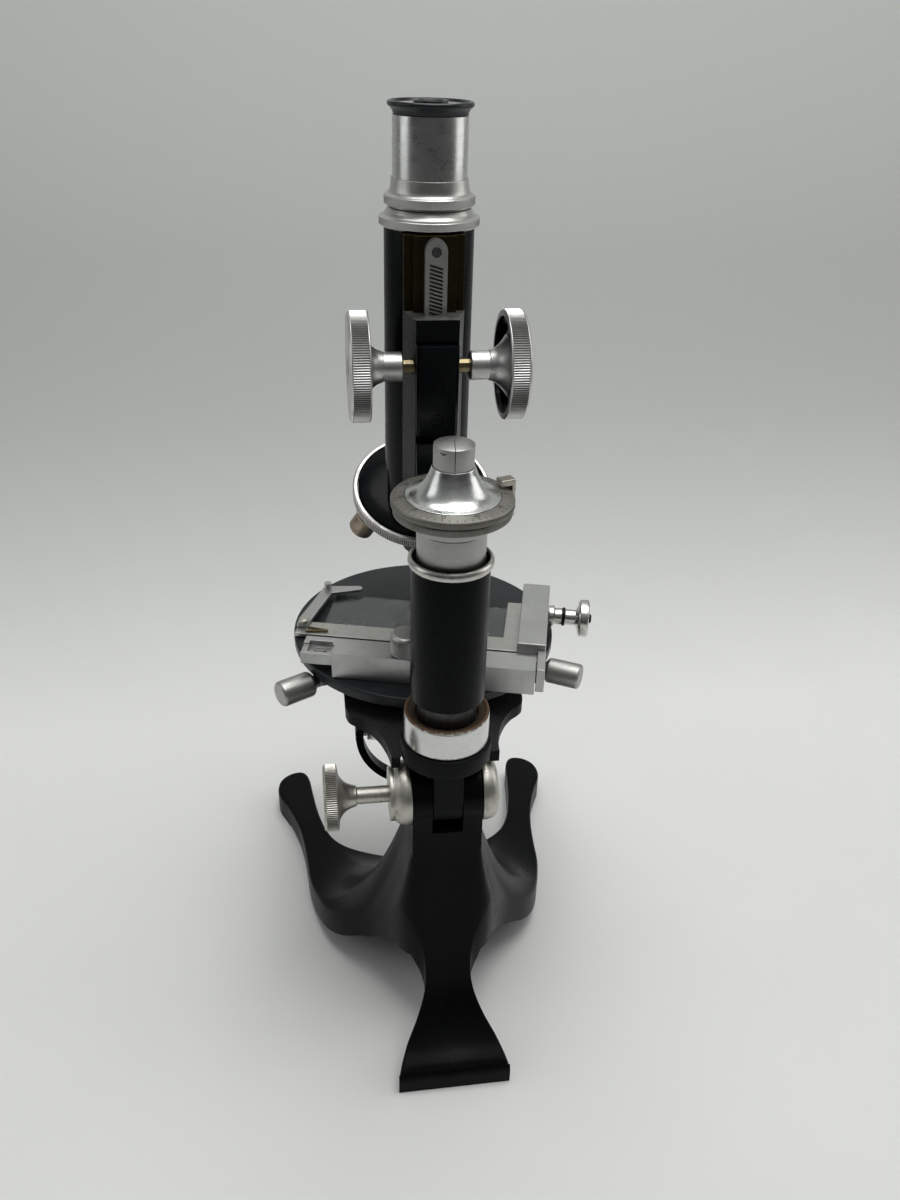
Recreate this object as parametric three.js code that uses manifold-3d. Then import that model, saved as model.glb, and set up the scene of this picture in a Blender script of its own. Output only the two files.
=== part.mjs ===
// Monocular microscope: a cast foot on three toes carries an inclining limb, a pillar with the
// fine focus, a rack-driven body tube, a turning stage with an attached slide mover, and a mirror.
// Millimetres, +Z up. While it is laid out, the pillar axis is x = 0, y = 0, the foot stands on
// z = 0, and the optical axis lies on the +Y side of the pillar.
import * as THREE from "three";
import { mergeVertices } from "three/addons/utils/BufferGeometryUtils.js";
import Module from "manifold-3d";

const wasm = await Module();
wasm.setup();

// ---- Driving dimensions ------------------------------------------------------------------
const HINGE_Z = 110; // height of the inclination axis
const STAGE_TOP_Z = 139.3; // working surface of the stage
const STAGE_R = 54.8; // radius of the stage disc
const STAGE_GAP = 0.8; // stage edge to the boss under the pillar
const PILLAR_R = 13.4; // radius of the black pillar sleeve
const PILLAR_TOP_Z = 207.4; // top of the black part of the sleeve
const DRUM_R = 20.1; // radius of the graduated fine focus drum
const TUBE_R = 15.8; // radius of the body tube
const TUBE_TOP_Z = 301.6; // top of the body tube
const DRAW_R = 12.8; // radius of the draw tube
const DRAW_OUT = 35; // how far the draw tube stands out of the body tube
const KNOB_R = 18.8; // radius of a coarse focus knob
const KNOB_OUT_X = 30.5; // outer face of a coarse focus knob
const FOOT_LEN_SCALE = 1; // stretch of the foot along Y
const REVOLVER_R = 28.2; // radius of the turning part of the nosepiece
const MIRROR_R = 23.6; // radius of a mirror glass

// ---- Fits and clearances -----------------------------------------------------------------
const RUN = 0.18; // radial gap of a turning or sliding pair
const SEAT = 0.12; // gap between neighbours fastened to each other
const WALK = 0.35; // gap between pieces that pass each other

// ---- Sizes that follow -------------------------------------------------------------------
const SIDES = 22; // facets of a large turned piece
const FEW = 10; // facets of a small turned piece
const TONGUE_HALF = 5.5;
const EAR_IN = TONGUE_HALF + 0.3;
const EAR_OUT = 13.2;
const EAR_R = 11.5;
const HINGE_BOLT_R = 3.2;
const BOSS_R = PILLAR_R + 3.4;
const OPTIC_Y = BOSS_R + STAGE_GAP + STAGE_R;
const BOSS_Z = HINGE_Z + 17.2;
const CUP_Z = HINGE_Z + 26;
const CUP_R = PILLAR_R + 2.2;
const CUP_TOP_Z = CUP_Z + 12.5;
const SLEEVE_Z = CUP_TOP_Z + 6.3;
const SLEEVE_BORE_R = PILLAR_R - 2.3;
const COLUMN_R = SLEEVE_BORE_R - RUN;
const RING_TOP_Z = PILLAR_TOP_Z + 3.5;
const DRAW_TOP_Z = TUBE_TOP_Z + DRAW_OUT;
const NECK_R = PILLAR_R - 1.65;
const DRUM_Z = RING_TOP_Z + 15.3;
const DRUM_TOP_Z = DRUM_Z + 6.1;
const BELL_R = DRUM_R - 4.6;
const CAP_R = 6.6;
const CAP_Z = DRUM_TOP_Z + 10.2;
const CAP_TOP_Z = CAP_Z + 7.3;
const STAGE_THICK = 4.7;
const CARRIER_TOP_Z = STAGE_TOP_Z - STAGE_THICK - WALK;
const CARRIER_Z = CARRIER_TOP_Z - 6.4;
const BRACKET_TOP_Z = CARRIER_Z - SEAT;
const BRACKET_Z = BRACKET_TOP_Z - 4.8;
const CENTRING_Z = CARRIER_Z + 3.2;
const CENTRING_DEG = 29;
const SUBSTAGE_R = 18.4;
const CARRIER_R = STAGE_R - 7.8;
const Y_KNOB_U = STAGE_R + 10.5; // inner face of the slide mover's forward knob, clear of the stage

const PINION_Y = 47.5;
const PINION_Z = 259.7;
const TEETH = 16;
const PITCH = 1.3;
const PINION_R = (TEETH * PITCH) / (2 * Math.PI);
const TOOTH_H = 0.62;
const RACK_HALF = 3.8;
const RACK_FACE_Y = PINION_Y + PINION_R - 0.5 * TOOTH_H;
const RACK_BACK_Y = RACK_FACE_Y + 3.4;
const TOOTH_SLOPE = 0.3;
const HEAD_TOP_Z = 276.5;
const HEAD_Z = 196;
const HEAD_FRONT_Y = OPTIC_Y - TUBE_R - 0.35;
const HEAD_REAR_Y = PINION_Y - 3.9;
const HEAD_FRONT_HALF = 10.7;
const HEAD_REAR_HALF = 7.4;
const SLIDE_HALF = 10.4;
const DOVETAIL_HALF = 6.6;
const SHAFT_R = 2.6;

const NOSE_TILT = THREE.MathUtils.degToRad(25.9);
const NOSE_AHEAD = 11;
const NOSE_Z = TUBE_TOP_Z - 103;
const NOSE_RING_R = NOSE_AHEAD / Math.cos(NOSE_TILT);
const STATIONS = 4;

const TURN_STAGE = THREE.MathUtils.degToRad(-14.5);
const BAR_TOP_Z = STAGE_TOP_Z + 11.2;
const SLIDE_GLASS = [76, 26, 1];
const HOLDER_Z = STAGE_TOP_Z + 0.45;
const HOLDER_TOP_Z = HOLDER_Z + 1.7;
const GLASS_LEFT = -41.6;
const GLASS_FRONT = -8.2;
const GLASS_RIGHT = GLASS_LEFT + SLIDE_GLASS[0];
const MIRROR_Z = HINGE_Z - 26.5;
const FORK_R = MIRROR_R + 6.7;
const MIRROR_BAR_Y = 36;
const MIRROR_BAR_Z = MIRROR_Z - FORK_R - 9.6;

// ---- Finishes ----------------------------------------------------------------------------
const finish = (color, roughness, metalness) =>
  new THREE.MeshStandardMaterial({ color, roughness, metalness });
const JAPAN = finish(0x14171b, 0.32, 0.1);
const CAST = finish(0x17191c, 0.45, 0.15);
const CRACKLE = finish(0x1f2022, 0.85, 0.05);
const EBONITE = finish(0x1d2126, 0.42, 0.0);
const CHROME = finish(0xc9ccce, 0.16, 1.0);
const SATIN = finish(0xb9babb, 0.38, 1.0);
const NICKEL = finish(0xb4ada0, 0.34, 1.0);
const OLD_NICKEL = finish(0x9a8a76, 0.4, 0.9);
const STEEL = finish(0x8d8f92, 0.4, 1.0);
const BRONZE = finish(0x5b4026, 0.45, 0.8);
const BRASS = finish(0xa98542, 0.3, 1.0);
const GLASS = finish(0xcfe0dc, 0.05, 0.0);
const MIRROR = finish(0xdfe3e6, 0.03, 1.0);

// ---- Shape helpers -----------------------------------------------------------------------
/** Closed solid from a closed three.js geometry, whatever way its faces were wound. */
function solid(geometry) {
  const bare = geometry.clone();
  bare.deleteAttribute("normal");
  bare.deleteAttribute("uv");
  const merged = mergeVertices(bare, 1e-4);
  const points = Float32Array.from(merged.attributes.position.array);
  const index = merged.index.array;
  const faces = [];
  let volume = 0;
  const a = new THREE.Vector3();
  const b = new THREE.Vector3();
  const c = new THREE.Vector3();
  for (let i = 0; i < index.length; i += 3) {
    const [p, q, r] = [index[i], index[i + 1], index[i + 2]];
    if (p === q || q === r || r === p) continue;
    faces.push(p, q, r);
    a.fromArray(points, 3 * p);
    b.fromArray(points, 3 * q);
    c.fromArray(points, 3 * r);
    volume += a.dot(b.cross(c));
  }
  if (volume < 0) {
    for (let i = 0; i < faces.length; i += 3) {
      [faces[i], faces[i + 1]] = [faces[i + 1], faces[i]];
    }
  }
  return new wasm.Manifold(
    new wasm.Mesh({ numProp: 3, vertProperties: points, triVerts: Uint32Array.from(faces) }),
  );
}

/** three.js geometry of a solid, flat shaded. */
function skin(body) {
  const mesh = body.getMesh();
  const geometry = new THREE.BufferGeometry();
  const points = Float32Array.from(mesh.vertProperties);
  geometry.setAttribute("position", new THREE.BufferAttribute(points, 3));
  geometry.setIndex(new THREE.BufferAttribute(Uint32Array.from(mesh.triVerts), 1));
  const flat = geometry.toNonIndexed();
  flat.computeVertexNormals();
  return flat;
}

/** Solid turned about Z from [radius, height] pairs that end on the axis or close on themselves. */
function turned(profile, sides = SIDES) {
  const points = profile.map(([r, z]) => new THREE.Vector2(r, z));
  const onAxis = profile[0][0] === 0 && profile[profile.length - 1][0] === 0;
  if (!onAxis) points.push(points[0].clone());
  const geometry = new THREE.LatheGeometry(points, sides);
  geometry.rotateX(Math.PI / 2);
  return solid(geometry);
}

/** Round bar of radius r between two heights. */
const rod = (r, z0, z1, sides = FEW) => turned([[0, z0], [r, z0], [r, z1], [0, z1]], sides);

/** Tube between two radii and two heights. */
const ring = (inner, outer, z0, z1, sides = SIDES) =>
  turned([[inner, z0], [outer, z0], [outer, z1], [inner, z1]], sides);

/** Block between two corners. */
function block(x0, x1, y0, y1, z0, z1) {
  const geometry = new THREE.BoxGeometry(x1 - x0, y1 - y0, z1 - z0);
  geometry.translate((x0 + x1) / 2, (y0 + y1) / 2, (z0 + z1) / 2);
  return solid(geometry);
}

/** Plate with a polygon outline between two heights. */
function plate(outline, z0, z1) {
  const shape = new THREE.Shape(outline.map(([x, y]) => new THREE.Vector2(x, y)));
  const geometry = new THREE.ExtrudeGeometry(shape, { depth: z1 - z0, bevelEnabled: false });
  geometry.translate(0, 0, z0);
  return solid(geometry);
}

/** Outline mirrored about x = 0, given its right half from the rear to the front. */
const mirrored = (half) =>
  half.concat(half.filter(([x]) => x !== 0).map(([x, y]) => [-x, y]).reverse());

/** Points of a circular arc. */
function arc(cx, cy, r, fromDeg, toDeg, steps) {
  const out = [];
  for (let i = 0; i <= steps; i += 1) {
    const t = THREE.MathUtils.degToRad(fromDeg + ((toDeg - fromDeg) * i) / steps);
    out.push([cx + r * Math.cos(t), cy + r * Math.sin(t)]);
  }
  return out;
}

/** Solid turned about Z, laid along +X. */
const alongX = (body) => body.rotate([0, 90, 0]);

/** Solid turned about Z, laid along +Y. */
const alongY = (body) => body.rotate([-90, 0, 0]);

/** Straight-line interpolation in a table of [input, output] rows. */
function table(rows, value) {
  if (value <= rows[0][0]) return rows[0][1];
  for (let i = 1; i < rows.length; i += 1) {
    if (value <= rows[i][0]) {
      const share = (value - rows[i - 1][0]) / (rows[i][0] - rows[i - 1][0]);
      return rows[i - 1][1] + share * (rows[i][1] - rows[i - 1][1]);
    }
  }
  return rows[rows.length - 1][1];
}

// ---- Assembly ----------------------------------------------------------------------------
const root = new THREE.Group();
root.name = "microscope";

/** Adds one named piece to the assembly. */
function add(name, body, material) {
  const mesh = new THREE.Mesh(skin(body), material);
  mesh.name = name;
  root.add(mesh);
}

// ---- Foot ----------------------------------------------------------------------------------
const FOOT_HALF_OUTLINE = [
  [0, -49], [21.9, -49], [21.3, -46.5], [19.7, -42], [17.3, -37.1], [13.7, -32.2], [11, -28.3],
  [9.5, -25.6], [9, -23.4], [9.4, -21], [10.8, -19.2], [13.4, -17.4], [17, -14.2], [20.3, -8.5],
  [23.5, -1.5], [27.8, 5.5], [33.5, 12], [40.2, 18.8], [45.3, 25.5], [49, 33], [52, 43], [54.2, 54],
  [55.2, 66], [56.7, 80], [59.3, 93], [64, 107], [68.5, 117], [69.3, 124],
  [67.5, 130.5], [62.5, 135], [56.5, 135.5], [53.2, 130], [51.5, 118], [49.5, 104], [46.5, 91],
  [42.5, 81], [37, 74], [29.5, 68.5], [20, 64], [10, 61.5], [0, 60.7],
];
const FOOT_WALL = 13; // height of the casting's side walls where it arches off the table
const FOOT_CROWN = 40; // highest point of the hollow under the hinge

/** Height of the top of the foot casting over one point of the plan. */
function footHeight(x, y) {
  const dx = Math.max(0, Math.abs(x) - EAR_OUT + 1.5);
  const dy = Math.max(0, Math.abs(y) - EAR_R + 2);
  const away = Math.hypot(dx, dy);
  const bearing = THREE.MathUtils.radToDeg(Math.atan2(y, Math.abs(x) + 0.001));
  const reach = table(
    [[-90, 13], [-40, 15], [-10, 17], [15, 20], [35, 27], [60, 30], [75, 25], [90, 20]], bearing,
  );
  const swell = (HINGE_Z - 11) * Math.exp(-away / reach);
  const floor = y < 0
    ? table([[-49, 6], [-47, 8.6], [-44, 9.8], [-36, 11.5], [-28, 13], [-10, 14]], y)
    : table([[0, 14], [60, 14.5], [95, 13.5], [135, 11.5]], y);
  return Math.cbrt(swell ** 3 + floor ** 3);
}

/** Height of the hollow underside of the foot casting over one point of the plan. */
function footHollow(x, y) {
  if (y < -38 || y > 107) return -1;
  const top = footHeight(x, y);
  return Math.min(FOOT_CROWN, top - FOOT_WALL - 0.15 * Math.max(0, top - 20));
}

/** Solid block whose top and underside follow two height functions. */
function relief(x0, x1, nx, y0, y1, ny, height, bottom) {
  const geometry = new THREE.BoxGeometry(x1 - x0, y1 - y0, 1, nx, ny, 1);
  geometry.translate((x0 + x1) / 2, (y0 + y1) / 2, 0);
  const at = geometry.attributes.position;
  for (let i = 0; i < at.count; i += 1) {
    const surface = at.getZ(i) > 0 ? height : bottom;
    at.setZ(i, surface(at.getX(i), at.getY(i)));
  }
  return solid(geometry);
}

const footOutline = mirrored(FOOT_HALF_OUTLINE.map(([x, y]) => [x, y * FOOT_LEN_SCALE]));
const footRear = -49 * FOOT_LEN_SCALE;
const footFront = 135.5 * FOOT_LEN_SCALE;
const footTop = relief(
  -72, 72, 28, footRear - 3, footFront + 3, 36,
  (x, y) => footHeight(x, y / FOOT_LEN_SCALE), (x, y) => footHollow(x, y / FOOT_LEN_SCALE),
);
const ears = alongX(rod(EAR_R, -EAR_OUT, EAR_OUT, SIDES)).translate([0, 0, HINGE_Z])
  .add(block(-EAR_OUT, EAR_OUT, -EAR_R + 0.6, EAR_R - 0.6, HINGE_Z - 26, HINGE_Z));
const slot = alongX(rod(EAR_R + 0.5, -EAR_IN, EAR_IN, SIDES)).translate([0, 0, HINGE_Z])
  .add(block(-EAR_IN, EAR_IN, -20, 20, HINGE_Z, HINGE_Z + 20))
  .add(block(-EAR_IN, EAR_IN, -34, 0, HINGE_Z - EAR_R - 0.4, HINGE_Z + 20));
const boltHole = alongX(rod(HINGE_BOLT_R + RUN, -20, 20)).translate([0, 0, HINGE_Z]);
const barRoom = block(-6, 6, MIRROR_BAR_Y - 1, OPTIC_Y, MIRROR_BAR_Z - 1, HINGE_Z);
const arch = block(-80, 80, -38 * FOOT_LEN_SCALE, 107 * FOOT_LEN_SCALE, -2, 1.8);
add(
  "base_casting",
  footTop.intersect(plate(footOutline, 0, 120)).add(ears).subtract(slot).subtract(boltHole)
    .subtract(arch).subtract(barRoom),
  CAST,
);

const capInner = EAR_OUT + SEAT;
add(
  "hinge_cap_left",
  alongX(turned([
    [HINGE_BOLT_R + 0.35, -capInner], [12.3, -capInner], [12.3, -capInner - 2.2],
    [11.3, -capInner - 4.8], [10, -capInner - 6.3], [10.3, -capInner - 6.5],
    [10.3, -capInner - 7.9], [HINGE_BOLT_R + 0.35, -capInner - 7.9],
  ])).translate([0, 0, HINGE_Z]),
  NICKEL,
);
add(
  "hinge_cap_right",
  alongX(turned([
    [0, capInner + 0.8], [5, capInner + 0.8], [5, capInner], [12.3, capInner],
    [12.3, capInner + 2.2], [11.2, capInner + 4.8], [8.2, capInner + 6.5], [0, capInner + 7.1],
  ])).translate([0, 0, HINGE_Z]),
  NICKEL,
);
add(
  "clamp_screw",
  alongX(turned([
    [0, -46.2], [4, -46.2], [4, -45.6], [11.6, -45.6], [12.5, -45], [12.5, -40.8], [11.8, -40.2],
    [8.2, -40], [5, -37.8], [3.8, -34.4], [3.8, -33.4], [HINGE_BOLT_R, -33.4], [HINGE_BOLT_R, 12.2],
    [0, 12.2],
  ])).translate([0, 0, HINGE_Z]),
  NICKEL,
);

// ---- Limb: boss, cup, column and stage bracket ---------------------------------------------
const tongue = alongX(rod(EAR_R - 0.2, -TONGUE_HALF, TONGUE_HALF, SIDES))
  .translate([0, 0, HINGE_Z])
  .add(block(-TONGUE_HALF, TONGUE_HALF, -EAR_R + 0.2, EAR_R - 0.2, HINGE_Z, BOSS_Z + 1));
const boss = turned([[0, BOSS_Z], [BOSS_R - 1.6, BOSS_Z], [BOSS_R, BOSS_Z + 1.8], [BOSS_R, CUP_Z - 0.6],
  [BOSS_R - 0.6, CUP_Z], [0, CUP_Z]]);
add("limb_boss", tongue.add(boss).subtract(boltHole), JAPAN);

const bracketHalf = [
  [BOSS_R + SEAT + 0.1, -1], [20.3, -1], [20.6, 3], [21.6, 8], [23.4, 13.8], [26, 19], [29.2, 23.2],
  [32.4, 25.4], [34.6, 27.4], [35.6, 30.4], [35.6, 60],
];
const bracketFront = arc(0, OPTIC_Y, 35.6, -20, 90, 12).filter(([x]) => x > 0.01);
const bracketOutline = [[0, 14], ...bracketHalf, ...bracketFront, [0, OPTIC_Y + 35.6]];
const bracketHoles = rod(BOSS_R + SEAT, BRACKET_Z - 2, BRACKET_TOP_Z + 2, SIDES)
  .add(rod(SUBSTAGE_R + WALK, BRACKET_Z - 2, BRACKET_TOP_Z + 2, SIDES).translate([0, OPTIC_Y, 0]));
const bracketWeb = block(-7.5, 7.5, EAR_R + 1, 40, HINGE_Z + 6, BRACKET_Z + 1);
add(
  "stage_bracket",
  plate(mirrored(bracketOutline), BRACKET_Z, BRACKET_TOP_Z).subtract(bracketHoles)
    .add(bracketWeb.subtract(rod(BOSS_R + SEAT, BRACKET_Z - 30, BRACKET_TOP_Z + 2, SIDES))),
  CRACKLE,
);
add(
  "pillar_cup",
  turned([
    [0, CUP_Z + SEAT], [CUP_R - 0.5, CUP_Z + SEAT], [CUP_R, CUP_Z + 0.7], [CUP_R, CUP_TOP_Z - 0.6],
    [CUP_R - 0.6, CUP_TOP_Z], [CUP_R - 1.7, CUP_TOP_Z], [COLUMN_R + 0.6, CUP_TOP_Z - 1.4],
    [COLUMN_R + 0.6, CUP_TOP_Z - 3], [0, CUP_TOP_Z - 3],
  ]),
  CHROME,
);
const columnFoot = rod(COLUMN_R, CUP_TOP_Z - 3 + SEAT, SLEEVE_Z + 6, SIDES);
const columnShape = [0, 120, 240].flatMap((deg) => arc(0, 0, COLUMN_R - 0.1, deg - 14, deg + 14, 2));
const columnPrism = plate(columnShape, SLEEVE_Z + 5, PILLAR_TOP_Z - 17.6);
add("prism_column", columnFoot.add(columnPrism), STEEL);

// ---- Pillar sleeve, its ring and the neck ----------------------------------------------------
add(
  "pillar_sleeve",
  turned([
    [SLEEVE_BORE_R, SLEEVE_Z], [PILLAR_R - 0.4, SLEEVE_Z], [PILLAR_R, SLEEVE_Z + 0.5],
    [PILLAR_R, PILLAR_TOP_Z], [SLEEVE_BORE_R, PILLAR_TOP_Z],
  ]),
  JAPAN,
);
add(
  "sleeve_top_ring",
  turned([
    [NECK_R + SEAT, PILLAR_TOP_Z + SEAT], [PILLAR_R + 0.4, PILLAR_TOP_Z + SEAT],
    [PILLAR_R + 1.15, PILLAR_TOP_Z + 1.2], [PILLAR_R + 1, PILLAR_TOP_Z + 2.8],
    [PILLAR_R, RING_TOP_Z], [PILLAR_R - 0.7, PILLAR_TOP_Z + 1.5], [NECK_R + SEAT, PILLAR_TOP_Z + 1.4],
  ]),
  CHROME,
);
const neckTop = DRUM_Z - 0.3;
add(
  "neck_collar",
  turned([
    [5.2, PILLAR_TOP_Z - 5], [SLEEVE_BORE_R - SEAT, PILLAR_TOP_Z - 5],
    [SLEEVE_BORE_R - SEAT, PILLAR_TOP_Z + SEAT], [NECK_R, PILLAR_TOP_Z + SEAT],
    [NECK_R, neckTop], [5.2, neckTop],
  ]),
  SATIN,
);

// ---- Limb arm and the head that guides the tube ----------------------------------------------
const headOutline = mirrored([
  [0, HEAD_REAR_Y], [HEAD_REAR_HALF, HEAD_REAR_Y], [HEAD_FRONT_HALF, HEAD_FRONT_Y],
  [0, HEAD_FRONT_Y],
]);
const armSide = [
  [8, PILLAR_TOP_Z - 1.2], [8, PILLAR_TOP_Z - 34], [15, PILLAR_TOP_Z - 33],
  [26, PILLAR_TOP_Z - 27], [36, PILLAR_TOP_Z - 17], [44, PILLAR_TOP_Z - 4],
  [HEAD_FRONT_Y - 4, PILLAR_TOP_Z + 8], [HEAD_FRONT_Y - 4, PILLAR_TOP_Z + 30],
  [HEAD_REAR_Y - 2.2, PILLAR_TOP_Z + 26], [37, PILLAR_TOP_Z + 10], [29, PILLAR_TOP_Z + 1.5],
  [20, PILLAR_TOP_Z - 1.2],
];
const arm = plate(armSide, -7.2, 7.2).rotate([90, 0, 90]);
const head = plate(headOutline, HEAD_Z + 16, HEAD_TOP_Z);
const dovetailSlot = plate(
  mirrored([
    [0, RACK_BACK_Y - RUN], [DOVETAIL_HALF + 0.9 + RUN, RACK_BACK_Y - RUN],
    [DOVETAIL_HALF - 0.3 + RUN, HEAD_FRONT_Y + 2], [0, HEAD_FRONT_Y + 2],
  ]),
  HEAD_Z - 10, HEAD_TOP_Z + 5,
);
const rackSlot = block(
  -RACK_HALF - RUN, RACK_HALF + RUN, RACK_FACE_Y - 0.25, RACK_BACK_Y + 1, HEAD_Z - 10, HEAD_TOP_Z + 5,
);
const pinionRoom = alongX(rod(PINION_R + 0.75, -2.6, 2.6)).translate([0, PINION_Y, PINION_Z]);
const shaftBore = alongX(rod(SHAFT_R + RUN, -20, 20)).translate([0, PINION_Y, PINION_Z]);
const capSeat = block(
  -12, 12, HEAD_REAR_Y - 5, HEAD_REAR_Y + SEAT - 0.1, PINION_Z - 23.3, PINION_Z + 8.9,
);
add(
  "limb_arm",
  arm.add(head).subtract(rod(PILLAR_R + SEAT, 150, 260, SIDES)).subtract(dovetailSlot)
    .subtract(rackSlot).subtract(pinionRoom).subtract(shaftBore).subtract(capSeat)
    .subtract(rod(DRUM_R + 1.2, DRUM_Z - 1.5, HEAD_TOP_Z, SIDES)),
  JAPAN,
);
const bearingScrewZ = [PINION_Z - 5.5, PINION_Z - 17.5];
const capRear = HEAD_REAR_Y - 3.2;
const bearingCap = plate(
  mirrored([[0, capRear], [6.2, capRear], [HEAD_REAR_HALF - 0.1, capRear + 1.2],
    [HEAD_REAR_HALF - 0.1, HEAD_REAR_Y - SEAT], [0, HEAD_REAR_Y - SEAT]]),
  PINION_Z - 23, PINION_Z + 8.7,
);
const screwPocket = (z) => alongY(rod(2.2, -1, 1.1)).translate([0, capRear, z]);
add(
  "bearing_cap",
  bearingCap.subtract(shaftBore).subtract(screwPocket(bearingScrewZ[0]))
    .subtract(screwPocket(bearingScrewZ[1])),
  JAPAN,
);
["bearing_screw_upper", "bearing_screw_lower"].forEach((name, i) => {
  const slotCut = block(-3, 3, -1, 0.35, -0.35, 0.35);
  const body = alongY(rod(2.05, 0.1, 1.0)).subtract(slotCut.translate([0, 0.1, 0]));
  add(name, body.translate([0, capRear, bearingScrewZ[i]]), JAPAN);
});

// ---- Fine focus head ---------------------------------------------------------------------------
add(
  "fine_drum",
  turned([
    [NECK_R - 6, DRUM_Z], [DRUM_R - 1.4, DRUM_Z], [DRUM_R - 0.7, DRUM_Z + 0.4],
    [DRUM_R - 0.7, DRUM_Z + 2.5], [DRUM_R - 1.3, DRUM_Z + 2.8], [DRUM_R - 0.5, DRUM_Z + 3.1],
    [DRUM_R, DRUM_Z + 3.4], [DRUM_R, DRUM_TOP_Z - 0.9], [DRUM_R - 0.3, DRUM_TOP_Z - 0.4],
    [BELL_R + 0.15, DRUM_TOP_Z], [BELL_R + 0.15, DRUM_TOP_Z - 1.2], [NECK_R - 6, DRUM_TOP_Z - 1.2],
  ], 32),
  SATIN,
);
add(
  "fine_bell",
  turned([
    [3.2, DRUM_TOP_Z - 1.2 + SEAT], [BELL_R, DRUM_TOP_Z - 1.2 + SEAT], [BELL_R, DRUM_TOP_Z + 0.2],
    [13.2, DRUM_TOP_Z + 1.1], [10.6, DRUM_TOP_Z + 3.2], [8.4, DRUM_TOP_Z + 6.5],
    [6.9, CAP_Z - SEAT], [3.2, CAP_Z - SEAT],
  ]),
  CHROME,
);
add(
  "fine_cap",
  turned([
    [0, CAP_Z - 2], [3, CAP_Z - 2], [3, CAP_Z], [CAP_R, CAP_Z], [CAP_R, CAP_TOP_Z - 0.4],
    [CAP_R - 0.5, CAP_TOP_Z], [0, CAP_TOP_Z + 1.3],
  ], 20),
  SATIN,
);
add(
  "micrometer_screw",
  turned([
    [0, PILLAR_TOP_Z - 15.6], [1.2, PILLAR_TOP_Z - 15.2], [1.8, PILLAR_TOP_Z - 14], [4, PILLAR_TOP_Z - 12],
    [4, DRUM_Z + 2], [5, DRUM_Z + 2.4], [5, DRUM_TOP_Z - 1.4], [2.8, DRUM_TOP_Z - 1.2], [2.8, CAP_Z - 2.3],
    [0, CAP_Z - 2.3],
  ], FEW),
  STEEL,
);
const pointerFoot = block(NECK_R + 0.15, NECK_R + 4.6, -2.1, 2.1, DRUM_Z - 4.4, DRUM_Z - 2.6)
  .add(block(DRUM_R + 0.5, DRUM_R + 1.9, -2.1, 2.1, DRUM_Z - 4.4, DRUM_TOP_Z + 2.6))
  .add(block(NECK_R + 3, DRUM_R + 1.9, -2.1, 2.1, DRUM_Z - 4.4, DRUM_Z - 2.6))
  .add(block(DRUM_R - 3.4, DRUM_R + 1.9, -2.1, 2.1, DRUM_TOP_Z + 0.5, DRUM_TOP_Z + 2.6));
add("pointer", pointerFoot.rotate([0, 0, 18]), NICKEL);

// ---- Coarse focus pinion and knobs ---------------------------------------------------------------
/** Gear blank with straight-sided teeth that lean along the shaft, as the rack's do. */
function pinionGear(halfWidth) {
  const positions = [];
  const around = TEETH * 4;
  const rings = 2;
  for (let j = 0; j <= rings; j += 1) {
    const x = -halfWidth + (2 * halfWidth * j) / rings;
    const turn = (-x * TOOTH_SLOPE) / PINION_R;
    for (let i = 0; i < around; i += 1) {
      const tooth = Math.floor(i / 4);
      const corner = i % 4;
      const share = [-0.3, -0.16, 0.16, 0.3][corner];
      const r = corner === 1 || corner === 2 ? PINION_R + 0.42 * TOOTH_H : PINION_R - 0.72 * TOOTH_H;
      const t = ((tooth + share) / TEETH) * 2 * Math.PI + turn;
      positions.push(x, r * Math.cos(t), r * Math.sin(t));
    }
  }
  const left = positions.length / 3;
  positions.push(-halfWidth, 0, 0, halfWidth, 0, 0);
  const index = [];
  for (let j = 0; j < rings; j += 1) {
    for (let i = 0; i < around; i += 1) {
      const a = j * around + i;
      const b = j * around + ((i + 1) % around);
      index.push(a, b, a + around, b, b + around, a + around);
    }
  }
  for (let i = 0; i < around; i += 1) {
    const next = (i + 1) % around;
    index.push(left, next, i, left + 1, rings * around + i, rings * around + next);
  }
  const geometry = new THREE.BufferGeometry();
  geometry.setAttribute("position", new THREE.BufferAttribute(Float32Array.from(positions), 3));
  geometry.setAttribute("normal", new THREE.BufferAttribute(new Float32Array(positions.length), 3));
  geometry.setAttribute("uv", new THREE.BufferAttribute(new Float32Array((positions.length / 3) * 2), 2));
  geometry.setIndex(index);
  return solid(geometry);
}

const pinion = alongX(rod(SHAFT_R, -KNOB_OUT_X + 2.2, KNOB_OUT_X - 2.2)).add(pinionGear(2.1));
add("pinion_shaft", pinion.translate([0, PINION_Y, PINION_Z]), BRASS);
const knobProfile = [
  [SHAFT_R + 0.15, 11.7], [4.7, 11.7], [5, 12.1], [5, 18.6], [7.2, 21.2], [10.4, 23], [15.6, 24.2],
  [16.2, 23.2], [KNOB_R, 23.4], [KNOB_R, KNOB_OUT_X - 0.9], [KNOB_R - 1, KNOB_OUT_X], [6.4, KNOB_OUT_X],
  [6.4, KNOB_OUT_X - 1.2], [SHAFT_R + 0.15, KNOB_OUT_X - 1.2],
];
[["coarse_knob_left", -1], ["coarse_knob_right", 1]].forEach(([name, side]) => {
  const body = alongX(turned(knobProfile.map(([r, x]) => [r, side * x]), 28));
  add(name, body.translate([0, PINION_Y, PINION_Z]), SATIN);
});

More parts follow.
